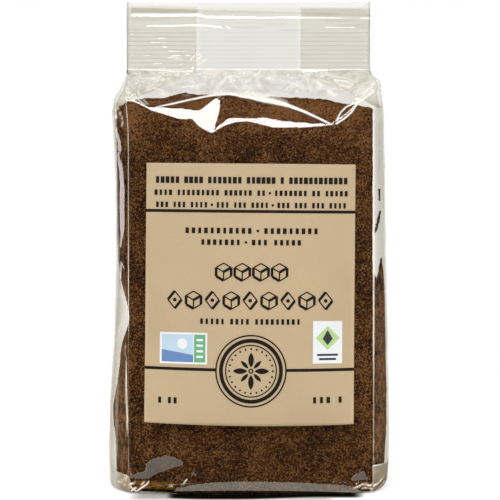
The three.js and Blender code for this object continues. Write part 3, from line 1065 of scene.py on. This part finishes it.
# One row of the sugar, around from the left crease, at a share of its height.
def sugarRow(share, tf, ts):
    gap, creaseX = sugar["gap"], bag["creaseX"] - sugar["gap"] / 3
    x = lerp(-creaseX, creaseX, tf)
    z = lerp(sugar["foot"], sugarTop(x), share)
    inRoof = z > bag["wallTop"]
    roofDepth = roofFront(x, np.maximum(z, bag["wallTop"] + 1e-6))
    front = np.where(inRoof, roofDepth, frontDepth(x, z)) - gap - sugarFoot("front", tf, z)
    bulge = bag["backBulge"] * bulgeShare(z) * crown(tf)
    back = np.where(inRoof, backRoof(z), wallDepth(z)) + bulge - gap - sugarFoot("back", tf, z)
    panels = [np.stack([x, -front, z], -1), None, np.stack([x, back, z], -1)[::-1], None]
    for side, sign, edge, droop in (("right", 1, -1, 3.5), ("left", -1, 0, 1.2)):
        z = lerp(sugar["foot"], sugarTop(sign * 45.0) - 2 * crown(ts), share)
        out = sugarSide[side](z - droop * np.abs(1 - 2 * ts)) * crown(ts)
        out = creaseX + out - smooth(z, 139, 146) * 4 * crown(ts) - sugarFoot(side, ts, z)
        panel = np.stack([sign * out, lerp(-front[edge], back[edge], ts), z], -1)
        panels[1 if side == "right" else 3] = panel if side == "right" else panel[::-1]
    return np.concatenate([panel[:-1] for panel in panels])


# Pits, clumps and fine relief, along the surface's normals.
def roughen(mesh):
    work = bmesh.new()
    work.from_mesh(mesh)
    bmesh.ops.remove_doubles(work, verts=work.verts, dist=1e-5)
    bmesh.ops.dissolve_degenerate(work, edges=work.edges, dist=1e-6)
    bmesh.ops.recalc_face_normals(work, faces=work.faces)
    work.normal_update()
    relief = sugar["relief"]
    for vert in work.verts:
        p = vert.co * 1000
        top = min(max((p.z - 139) / 5, 0.0), 1.0)
        coarse = noise.noise(p / relief["coarse"])
        fine = noise.noise(p / relief["fine"] + Vector((9, 2, 5)))
        pit = max(0.0, noise.noise(p / relief["pit"] + Vector((1, 8, 3))) - 0.25) * 2.2
        out = -0.28 + 0.2 * coarse + 0.16 * fine - 0.9 * pit * (1 - top)
        out += top * (0.7 * noise.noise(p / relief["top"]) + 0.4 * coarse)
        out = min(out, 0.05 if p.z < 139 else 0.5 * slackOver(p) - 0.2)
        vert.co += vert.normal * (out / 1000)
        vert.co.z = max(vert.co.z, 0.0002)
    work.to_mesh(mesh)
    work.free()
    mesh.update()


def makeSugar():
    tf, ts = (np.linspace(0, 1, sugar[columns] + 1) for columns in ("frontColumns", "sideColumns"))
    grid = [sugarRow(share, tf, ts) for share in np.linspace(0, 1, sugar["rows"])]

    def spine(ring, z):
        x = clamp(ring[:, 0], -sugar["ridge"], sugar["ridge"])
        return np.stack([x, np.zeros(len(x)), z(x)], -1)

    topSpine = spine(grid[-1], lambda x: sugarTop(x) + 0.8)
    footSpine = spine(grid[0], lambda x: np.full(len(x), sugar["foot"]))
    shares = np.linspace(0, 1, sugar["capRows"] + 1)[1:]
    base = [lerp(grid[0], footSpine, share) for share in shares[::3]]
    base[-1] = footSpine
    levels = base[::-1] + grid + [lerp(grid[-1], topSpine, share) for share in shares]
    piece = meshOf("sugar-fill", np.concatenate(levels), wallFaces(len(levels), len(grid[0])))
    roughen(piece.data)
    return piece


sugarMaterial = sugarLook()
sugarPiece = place(makeSugar(), "bag", sugarMaterial)
print("sugar made")


# One crystal: a small uneven block.
def makeCrystal():
    dice = random.Random(sugar["seed"])
    box = [(x, y, z) for x in (-1, 1) for y in (-1, 1) for z in (-1, 1)]
    points = [[c * side * dice.uniform(0.72, 1.1) / 2 for c, side in zip(p, sugar["block"])] for p in box]
    faces = [(0, 1, 3, 2), (4, 6, 7, 5), (0, 4, 5, 1), (2, 3, 7, 6), (0, 2, 6, 4), (1, 5, 7, 3)]
    mesh = bpy.data.meshes.new("crystal")
    mesh.from_pydata(points, [], faces)
    return objectOf("crystal", mesh)


# Places on the right wall's inner face where sugar clings, as small squares inside each smear.
def smearSquares():
    step, corners, faces = sugar["clingStep"], [], []
    rows = (rightWall[:, 0, 2] > 40) & (rightWall[:, 0, 2] < 130)
    heights, depths = rightWall[rows, 0, 2], sideColumnsT()[:-1] * wall["depth"]
    for smear in sugar["smears"]:
        low, high = np.min(smear, 0), np.max(smear, 0)
        d, z = np.meshgrid(*(np.arange(a, b + step, step) for a, b in zip(low, high)), indexing="ij")
        spots = np.zeros((*d.shape, 3))
        for axis in (0, 1):
            lines = np.array([np.interp(d[:, 0], depths, row) for row in rightWall[rows][..., axis]])
            spots[..., axis] = [np.interp(z[i], heights, lines[:, i]) for i in range(len(d))]
        spots[..., 0] -= sugar["clingGap"]
        spots[..., 2] = z
        first, width = len(corners), d.shape[1]
        corners += [tuple(p) for p in toScene(spots.reshape(-1, 3))]
        for i, j in zip(*np.nonzero(inside(smear, d[:-1, :-1] + step / 2, z[:-1, :-1] + step / 2))):
            a = first + i * width + j
            faces.append((a, a + width, a + width + 1, a + 1))
    return corners, faces


# Crystals strewn over a mesh, thicker and smaller where its faces say so.
def strewnTree():
    group = bpy.data.node_groups.new("strewn crystals", "GeometryNodeTree")
    for way in ("INPUT", "OUTPUT"):
        group.interface.new_socket("Geometry", in_out=way, socket_type="NodeSocketGeometry")
    kinds = dict(Density="Float", Seed="Int", Smallest="Float", Largest="Float", Crystal="Object")
    kinds["Look"] = "Material"
    sockets = {
        name: group.interface.new_socket(name, in_out="INPUT", socket_type="NodeSocket" + kind).identifier
        for name, kind in kinds.items()
    }
    tree = Nodes(group)
    mesh = tree.add("NodeGroupInput")
    given = mesh.socket.node.outputs
    density, seed, smallest, largest, crystal, look = (Wire(tree, given[name]) for name in kinds)
    thick = tree.add("GeometryNodeInputNamedAttribute", None, {"Name": "thick"}, "Attribute")
    places = {"Mesh": mesh, "Density": thick * density, "Seed": seed}
    points = tree.add("GeometryNodeDistributePointsOnFaces", None, places)
    turns = {0: (0, 0, 0), 1: (2 * math.pi,) * 3, "Seed": seed}
    turn = tree.add("FunctionNodeRandomValue", {"data_type": "FLOAT_VECTOR"}, turns)
    size = tree.add("FunctionNodeRandomValue", None, {2: smallest, 3: largest, "Seed": seed}, 1)
    shape = tree.add("GeometryNodeObjectInfo", None, {"Object": crystal}, "Geometry")
    values = {"Points": points, "Instance": shape, "Rotation": turn, "Scale": size * thick**-0.45}
    copies = tree.add("GeometryNodeInstanceOnPoints", None, values)
    real = tree.add("GeometryNodeRealizeInstances", None, {0: copies})
    painted = tree.add("GeometryNodeSetMaterial", None, {0: real, "Material": look})
    tree.add("NodeGroupOutput", None, {0: painted})
    return group, sockets


# Loose crystals lying on the top of the sugar and clinging to the right wall.
def makeGrains():
    source = sugarPiece.data
    up = [f for f in source.polygons if f.center.z > sugar["topFrom"] and f.normal.z > 0.35]
    up = [f for f in up if slackOver(f.center * 1000) > sugar["topGap"]]
    smears, squares = smearSquares()
    start = len(source.vertices)
    corners = [v.co[:] for v in source.vertices] + smears
    faces = [tuple(f.vertices) for f in up] + [tuple(start + i for i in square) for square in squares]
    ground = bpy.data.meshes.new("ground")
    ground.from_pydata(corners, [], faces)
    thick = ground.attributes.new("thick", "FLOAT", "FACE")
    thick.data.foreach_set("value", [1.0] * len(up) + [sugar["clingDensity"]] * len(squares))
    holder, crystal = objectOf("sugar-grains-ground", ground), makeCrystal()
    modifier = holder.modifiers.new("grains", "NODES")
    modifier.node_group, sockets = strewnTree()
    smallest, largest = sugar["crystal"]
    density = sugar["grains"] / sum(f.area for f in up)
    values = dict(Density=density, Seed=sugar["seed"], Smallest=smallest, Largest=largest, Crystal=crystal)
    for name, value in dict(**values, Look=sugarMaterial).items():
        modifier[sockets[name]] = value
    holder.update_tag()
    bpy.context.view_layer.update()
    mesh = bpy.data.meshes.new_from_object(holder.evaluated_get(bpy.context.evaluated_depsgraph_get()))
    bpy.data.objects.remove(holder)
    bpy.data.objects.remove(crystal)
    return objectOf("sugar-grains", mesh)


grains = place(makeGrains(), "bag", sugarMaterial)
print("grains made", len(grains.data.polygons))


# A point of the label: across and up from its middle, and out from the paper's face.
def labelPoint(u, v, out):
    turn = math.radians(labelLook["turn"])
    x = labelLook["centre"][0] + u * np.cos(turn) - v * np.sin(turn)
    z = labelLook["centre"][1] + u * np.sin(turn) + v * np.cos(turn)
    dip = labelLook["dip"] * crown(clamp(u / labelLook["width"] + 0.5))
    z = z - dip * smooth(-v, 0, labelLook["height"] / 2)
    lift = labelLook["lift"] * smooth(-v, 0.16 * labelLook["height"], 0.5 * labelLook["height"])
    depth = frontDepth(x, z) + labelLook["gap"] + labelLook["thickness"] + lift + out
    return np.stack(np.broadcast_arrays(x, -depth, z), -1)


# Flat shapes that lie on the label, as closed slips with a top and an edge.
class Print:
    def __init__(self, base, height):
        self.points, self.faces, self.tints = [], [], []
        self.base, self.height = base, height

    # A grid of points across and up. It may close to a ring along its rows.
    def slip(self, u, v, tint=(1, 1, 1), closed=False):
        rows, columns = u.shape
        start, n = len(self.points), u.size
        for out in (self.base + self.height, self.base):
            self.points += list(labelPoint(u.ravel(), v.ravel(), out))
        self.tints += [tint] * (2 * n)
        wrap = columns if closed else columns - 1

        def at(r, c):
            return start + r * columns + c % columns

        for r in range(rows - 1):
            for c in range(wrap):
                a, b, d, e = at(r, c), at(r, c + 1), at(r + 1, c + 1), at(r + 1, c)
                self.faces += [(a, b, d, e), (n + a, n + e, n + d, n + b)]
        rim, last = [], columns - 1
        for c in range(wrap):
            rim += [(at(0, c), at(0, c + 1)), (at(rows - 1, c + 1), at(rows - 1, c))]
        for r in range(0 if closed else rows - 1):
            rim += [(at(r + 1, 0), at(r, 0)), (at(r, last), at(r + 1, last))]
        self.faces += [(b, a, n + a, n + b) for a, b in rim]

    def quad(self, corners, tint=(1, 1, 1), longest=2.5):
        (ax, ay), (bx, by), (cx, cy), (dx, dy) = corners
        m = max(1, math.ceil(math.hypot(bx - ax, by - ay) / longest))
        n = max(1, math.ceil(math.hypot(dx - ax, dy - ay) / longest))
        s, t = np.meshgrid(np.linspace(0, 1, m + 1), np.linspace(0, 1, n + 1))
        u = lerp(lerp(ax, bx, s), lerp(dx, cx, s), t)
        v = lerp(lerp(ay, by, s), lerp(dy, cy, s), t)
        self.slip(u, v, tint)

    def box(self, left, right, low, high, tint=(1, 1, 1)):
        self.quad([(left, low), (right, low), (right, high), (left, high)], tint)

    def bar(self, u, v, width, height, turn=0.0, tint=(1, 1, 1)):
        c, s = math.cos(turn) / 2, math.sin(turn) / 2
        ends = [(a * width, b * height) for a, b in ((-1, -1), (1, -1), (1, 1), (-1, 1))]
        self.quad([(u + a * c - b * s, v + a * s + b * c) for a, b in ends], tint)

    def line(self, a, b, width):
        turn = math.atan2(b[1] - a[1], b[0] - a[0])
        self.bar((a[0] + b[0]) / 2, (a[1] + b[1]) / 2, math.dist(a, b), width, turn)

    def ring(self, u, v, inner, outer, count=96, tint=(1, 1, 1)):
        angle = np.arange(count) / count * 2 * math.pi
        radius = np.array([outer, inner])[:, None]
        self.slip(u + radius * np.cos(angle), v - radius * np.sin(angle), tint, closed=True)

    def disc(self, u, v, radius, count=16, tint=(1, 1, 1)):
        self.ring(u, v, radius * 0.02, radius, count, tint)

    def petal(self, u, v, length, width, turn):
        t = np.linspace(0, 1, 9)
        half = width / 2 * np.sin(math.pi * t) ** 0.8 + 0.02
        along, side = np.stack([t * length, t * length]), np.stack([-half, half])
        c, s = math.cos(turn), math.sin(turn)
        self.slip(u + along * c - side * s, v + along * s + side * c)

    def piece(self, name, smoothly=False):
        made = meshOf(name, np.array(self.points), self.faces, smoothly)
        tints = made.data.color_attributes.new("tint", "FLOAT_COLOR", "POINT")
        tints.data.foreach_set("color", np.array([(*t, 1) for t in self.tints], float).ravel())
        return made


def makeLabel():
    sheet = Print(-labelLook["thickness"], labelLook["thickness"])
    across, up = (np.linspace(-0.5, 0.5, count + 1) for count in labelLook["squares"])
    sheet.slip(*np.meshgrid(across * labelLook["width"], up * labelLook["height"]))
    return sheet.piece("label-paper", True)


# A line of small blocks in word-like groups, standing in for a line of small print.
def blockLine(sheet, seed, left, right, v, height, weight, words, dots=()):
    dice = random.Random(seed)
    cell = (right - left) / (sum(words) + (len(words) - 1) * 0.75 + len(dots) * 0.85)
    u = left
    for index, count in enumerate(words):
        for _ in range(count):
            sheet.bar(u + cell / 2, v, cell * weight * dice.uniform(0.85, 1.15), height * 0.8)
            u += cell
        if index in dots:
            sheet.disc(u + cell * 0.8, v, height * 0.2, 10)
            u += cell * 0.85
        u += cell * 0.75


# A sugar cube seen from a corner, in line.
def cubeMark(sheet, u, v, size=3.15, thick=1.0, thin=0.5):
    angles = [math.radians(a) for a in range(30, 390, 60)]
    corners = [(u + size * math.cos(a), v + size * math.sin(a)) for a in angles]
    for i in range(6):
        sheet.line(corners[i], corners[(i + 1) % 6], thick if i in (2, 3, 5) else thin)
    for i in (0, 2, 4):
        sheet.line((u, v), corners[i], thin if i else thick)


def lozengeMark(sheet, u, v, wide=2.5, tall=3.15, thick=1.0, thin=0.5):
    corners = [(u + wide, v), (u, v + tall), (u - wide, v), (u, v - tall)]
    for i in range(4):
        sheet.line(corners[i], corners[(i + 1) % 4], thick if i in (1, 3) else thin)
    sheet.disc(u, v, tall * 0.22, 12)


# A rosette of petals in rings of lines and dots.
def rosette(sheet, u, v):
    for inner, outer, count in ((12.4, 12.95, 120), (10.15, 11.55, 120), (8.95, 9.4, 96), (0.45, 0.95, 24)):
        sheet.ring(u, v, inner, outer, count)
    for i in range(24):
        angle = i / 24 * 2 * math.pi
        sheet.disc(u + 7.9 * math.cos(angle), v + 7.9 * math.sin(angle), 0.38, 10)
    for i in range(8):
        angle = i / 8 * 2 * math.pi
        length, width = (3.9, 1.3) if i % 2 else (5.3, 2.0)
        sheet.petal(u + 1.3 * math.cos(angle), v + 1.3 * math.sin(angle), length, width, angle)


def makeInk():
    sheet = Print(0.0, labelLook["inkHeight"])
    half = labelLook["width"] / 2
    rules = [(-half, half, 29.3, 30.4), (-half, -12.2, -27.85, -26.75), (13.4, half, -27.85, -26.75)]
    for rule in rules:
        sheet.box(*rule)
    lines = [  # from left to right, height of the line's middle and of its blocks, weight, words, dots
        (-34.9, 35.4, 41.1, 3.0, 0.74, (5, 4, 7, 6, 1, 12)),
        (-35.4, 35.6, 36.5, 2.5, 0.56, (4, 9, 6, 2, 7, 2, 5), (3,)),
        (-34.8, 35.0, 32.1, 2.5, 0.54, (3, 3, 4, 3, 3, 4, 3, 3, 3, 4), (2, 5)),
        (-24.1, 24.9, 22.8, 2.6, 0.52, (11, 9), (0,)),
        (-18.3, 18.8, 18.6, 2.5, 0.52, (7, 3, 5), (0,)),
        (-18.4, 18.6, -10.0, 2.5, 0.5, (5, 4, 9)),
        (-33.5, -25.8, -38.7, 2.8, 0.5, (1, 2)),
        (22.5, 34.3, -38.1, 2.8, 0.5, (3, 1)),
    ]
    for seed, line in enumerate(lines, 21):
        blockLine(sheet, seed, *line)
    for i in range(4):
        cubeMark(sheet, -9.6 + i * 6.75, 7.9)
    for i in range(9):
        (cubeMark if i % 2 else lozengeMark)(sheet, -27.3 + i * 6.85, -2.4)
    rosette(sheet, 0.6, -27.6)
    return sheet.piece("label-print")


def makeStickers():
    white, dark = (0.86, 0.87, 0.88), (0.015, 0.02, 0.025)
    paleBlue, blue = (0.52, 0.68, 0.82), (0.11, 0.24, 0.5)
    paleGreen, green = (0.5, 0.68, 0.28), (0.13, 0.42, 0.2)
    backs, fields, motifs = Print(0.0, 0.07), Print(0.07, 0.03), Print(0.1, 0.02)
    # left: a blue field with a pale sun over a hill, and a green strip with bars down its right side
    backs.box(-32.6, -15.3, -25.5, -14.2, white)
    fields.box(-31.9, -20.4, -24.8, -14.9, paleBlue)
    fields.box(-20.1, -16.0, -24.8, -14.9, green)
    motifs.quad([(-31.9, -24.8), (-20.4, -24.8), (-20.4, -22.2), (-31.9, -20.4)], blue)
    motifs.disc(-24.4, -18.2, 1.9, 24, white)
    for i in range(4):
        motifs.bar(-18.05, -16.8 - i * 2.0, 2.4, 0.8, 0, white)
    # right: a pale green square set on its corner, a dark lozenge in it, and two short bars below
    backs.box(23, 33.7, -25, -9.7, white)
    fields.quad([(28.35, -20.2), (32.75, -15.8), (28.35, -11.4), (23.95, -15.8)], paleGreen)
    motifs.quad([(28.35, -18.4), (30.2, -16.1), (28.35, -12.9), (26.5, -16.1)], dark)
    for i, wide in enumerate((7.6, 6.2)):
        fields.bar(28.35, -21.9 - i * 1.5, wide, 0.75, 0, dark)
    return backs.piece("sticker-backs"), fields.piece("sticker-fields"), motifs.piece("sticker-motifs")


place(makeLabel(), "label", paperLook())
place(makeInk(), "label", inkLook())
for made in makeStickers():
    place(made, "label", stickerLook())
print("label made")


studio = dict(
    middle=(0, -0.02, 0.09),
    eye=(0.0003, -0.7722, 0.115),
    aim=(0.0003, -0.0222, 0.0892),
    lens=148.1,
    fill=0.34,  # the white surroundings light the bag this much
    shadeLeft=-0.0275,  # the floor before the foot lies between these, in x
    shadeRight=0.041,
    floorLevel=-0.00015,
    glowLevel=-0.0001,
    floor=((0.82, 0.82, 0.8), (0.85, 0.85, 0.83)),
    floorGlow=(0.52, 0.52, 0.52),
    shade=(0.006, 0.005, 0.003),
    glow=(1.9, 1.86, 1.56),
    paleGlow=(1.55, 1.42, 1.26),
    # the zone behind that reflections find bright: how far back and how high it starts and is full
    mirror=dict(back=(0.84, 0.97), up=(-0.34, -0.2), dark=0.012),
)
# The shadow under the bag, in metres: a dark core around the foot, and a faint one around that.
shadow = dict(
    middleX=0.00525,
    halfX=0.03175,
    front=0.0275,
    back=0.0265,
    reach=0.0068,
    further=0.0048,  # the core reaches this much further forward near furtherX
    furtherX=-0.009,
    furtherFades=(0.004, 0.036),
    faintX=-0.006,
    faintHalf=(0.0325, 0.027),
    faintReach=0.022,
    faintNarrow=2.6,  # the faint one is this much narrower at the sides
    faintDepth=0.66,
)


def emitterBox(name, spot, target, size, power, tone=(1, 1, 1)):
    light = bpy.data.lights.new(name, "AREA")
    light.shape = "RECTANGLE"
    light.size, light.size_y = size
    light.energy, light.color = power, tone
    lamp = objectOf(name, light)
    lamp.location = spot
    lamp.rotation_euler = (Vector(target) - Vector(spot)).to_track_quat("-Z", "Y").to_euler()
    return lamp


def lightBox(name, azimuth, elevation, distance, size, radiance, gloss=True, soft=True):
    a, e = math.radians(azimuth), math.radians(elevation)
    target = Vector(studio["middle"])
    way = Vector((math.sin(a) * math.cos(e), -math.cos(a) * math.cos(e), math.sin(e)))
    lamp = emitterBox(name, target + way * distance, target, size, radiance * math.pi * size[0] * size[1])
    lamp.visible_glossy, lamp.visible_diffuse = gloss, soft


# The floor fades into the white surroundings at its edges, and carries a painted shadow, darkest where the
# bag meets it.
def floorLook():
    look = Look("floor")
    x, y = look.axis(0), look.axis(1)
    further = (1 - abs(x - shadow["furtherX"]).step(*shadow["furtherFades"])) * shadow["further"]
    beyondX = (abs(x - shadow["middleX"]) - shadow["halfX"]).atLeast(0.0)
    beyondY = (0 - y - shadow["front"] - further).atLeast(y - shadow["back"]).atLeast(0.0)
    core = ((beyondX * beyondX + beyondY * beyondY) ** 0.5).step(0, shadow["reach"]) ** 1.8
    halfX, halfY = shadow["faintHalf"]
    besideX = (abs(x - shadow["faintX"]) - halfX).atLeast(0.0) * shadow["faintNarrow"]
    besideY = (abs(y) - halfY).atLeast(0.0)
    faint = ((besideX * besideX + besideY * besideY) ** 0.5).step(0, shadow["faintReach"])
    light = core.atMost(faint * shadow["faintDepth"] + (1 - shadow["faintDepth"]))
    color = look.mix(light, studio["shade"], look.mix(look.noise(0.05, 2), *studio["floor"]))
    paper = look.shader("BsdfDiffuse", Color=color)
    glow = look.shader("Emission", Color=look.mix(light, (0, 0, 0), studio["floorGlow"]))
    lit = look.add("ShaderNodeAddShader", None, {0: paper, 1: glow})
    away = (x * x + y * y) ** 0.5
    return look.finish(look.blend(away.step(0.22, 0.5), lit, look.shader("BsdfTransparent")))


# A bright patch that only shows as a reflection in the film.
def glowLook(tone):
    look = Look("glow")
    color = look.mix(look.noise(0.005, 3).step(0.3, 0.7), [c * 0.9 for c in tone], [c * 1.1 for c in tone])
    return look.finish(look.shader("Emission", Color=color))


def stageSheet(name, corners, z, look):
    mesh = bpy.data.meshes.new(name)
    mesh.from_pydata([(x, y, z) for x, y in corners], [], [range(len(corners))])
    mesh.materials.append(look)
    sheet = objectOf(name, mesh)
    return sheet


def makeFloor():
    left, right, look = studio["shadeLeft"], studio["shadeRight"], floorLook()
    sheets = dict(
        left=(-0.5, left, -0.5, 0.5),
        right=(right, 0.5, -0.5, 0.5),
        back=(left, right, -0.01, 0.5),
        before=(left, right, -0.5, -0.085),
        front=(left, right, -0.085, -0.01),
    )
    for name, (x0, x1, y0, y1) in sheets.items():
        corners = [(x0, y0), (x1, y0), (x1, y1), (x0, y1)]
        floor = stageSheet("floor-" + name, corners, studio["floorLevel"], look)
        floor.visible_glossy, floor.visible_diffuse = False, name != "front"


# Bright patches whose reflections make the pale band and corners at the foot. In millimetres, the one
# before the foot begins by the film's own front and reaches furthest in the middle.
def makeGlow():
    left, right = studio["shadeLeft"] * 1000, studio["shadeRight"] * 1000
    pale = glowLook(studio["paleGlow"])
    near = [(x, headerPlane - frontDepth(x, 0) + 1.5) for x in np.linspace(left, right, 24)]
    far = [(left, -30), (-25, -30.5), (-21.6, -40), (-18, -64), (-9, -70), (0, -75.5), (18, -71), (25, -68),
           (32.5, -57), (36, -48.5), (38.5, -47.5), (right, -46.5)]
    patches = dict(
        front=(near[::-1] + far, glowLook(studio["glow"])),
        right=([(right, -64), (56, -64), (56, -30), (right, -30)], pale),
        left=([(-60, -63), (left, -63), (left, -41), (-45, -41), (-45, -31), (-60, -31)], pale),
    )
    for name, (corners, look) in patches.items():
        corners = [(x / 1000, y / 1000) for x, y in corners]
        sheet = stageSheet("glow-" + name, corners, studio["glowLevel"], look)
        sheet.visible_camera = sheet.visible_diffuse = sheet.visible_shadow = False


# White surroundings, which fill in softly. Reflections find them dark, but for a bright zone behind.
def makeWorld():
    world = bpy.data.worlds.new("studio")
    bpy.context.scene.world = world
    world.use_nodes = True
    nodes = Nodes(world.node_tree)
    way = nodes.add("ShaderNodeTexCoord", output="Generated")
    backwards, upwards = (nodes.add("ShaderNodeSeparateXYZ", None, {0: way}, axis) for axis in (1, 2))
    rays = ("Is Diffuse Ray", "Is Glossy Ray")
    diffuse, glossy = (nodes.add("ShaderNodeLightPath", output=ray) for ray in rays)
    plain = 1 - diffuse * (1 - studio["fill"])
    mirror = studio["mirror"]
    mirrored = backwards.step(*mirror["back"], mirror["dark"]) * upwards.step(*mirror["up"], mirror["dark"])
    strength = plain * (1 - glossy) + mirrored * glossy
    light = nodes.add("ShaderNodeBackground", None, {"Color": (1, 1, 1), "Strength": strength})
    nodes.add("ShaderNodeOutputWorld", None, {0: light})


def makeCamera():
    camera = bpy.data.cameras.new("camera")
    camera.sensor_width, camera.lens = 36, studio["lens"]
    eye = objectOf("camera", camera)
    eye.location = studio["eye"]
    eye.rotation_euler = (Vector(studio["aim"]) - eye.location).to_track_quat("-Z", "Y").to_euler()
    bpy.context.scene.camera = eye


makeFloor()
makeGlow()
makeWorld()
makeCamera()
lightBox("key", 0, 50, 1.15, (1.7, 0.42), 12, soft=False)
lightBox("key-soft", 0, 50, 1.15, (1.7, 0.7), 3.6, gloss=False)
lightBox("side-left", -72, 12, 1.0, (0.22, 0.9), 4.0)
lightBox("side-right", 72, 12, 1.0, (0.22, 0.9), 4.2)
spot, target, size = (-0.72, 0.75, 0.1), (-0.05, -0.02, 0.1), (0.21, 0.09)
backLeft = emitterBox("back-left", spot, target, size, 0.099, (1, 0.91, 0.88))
backLeft.visible_diffuse = False
bpy.context.scene.view_settings.view_transform = "Standard"
bpy.context.scene.view_settings.look = "None"
bpy.context.scene.cycles.transparent_max_bounces = 20
print("stage made")
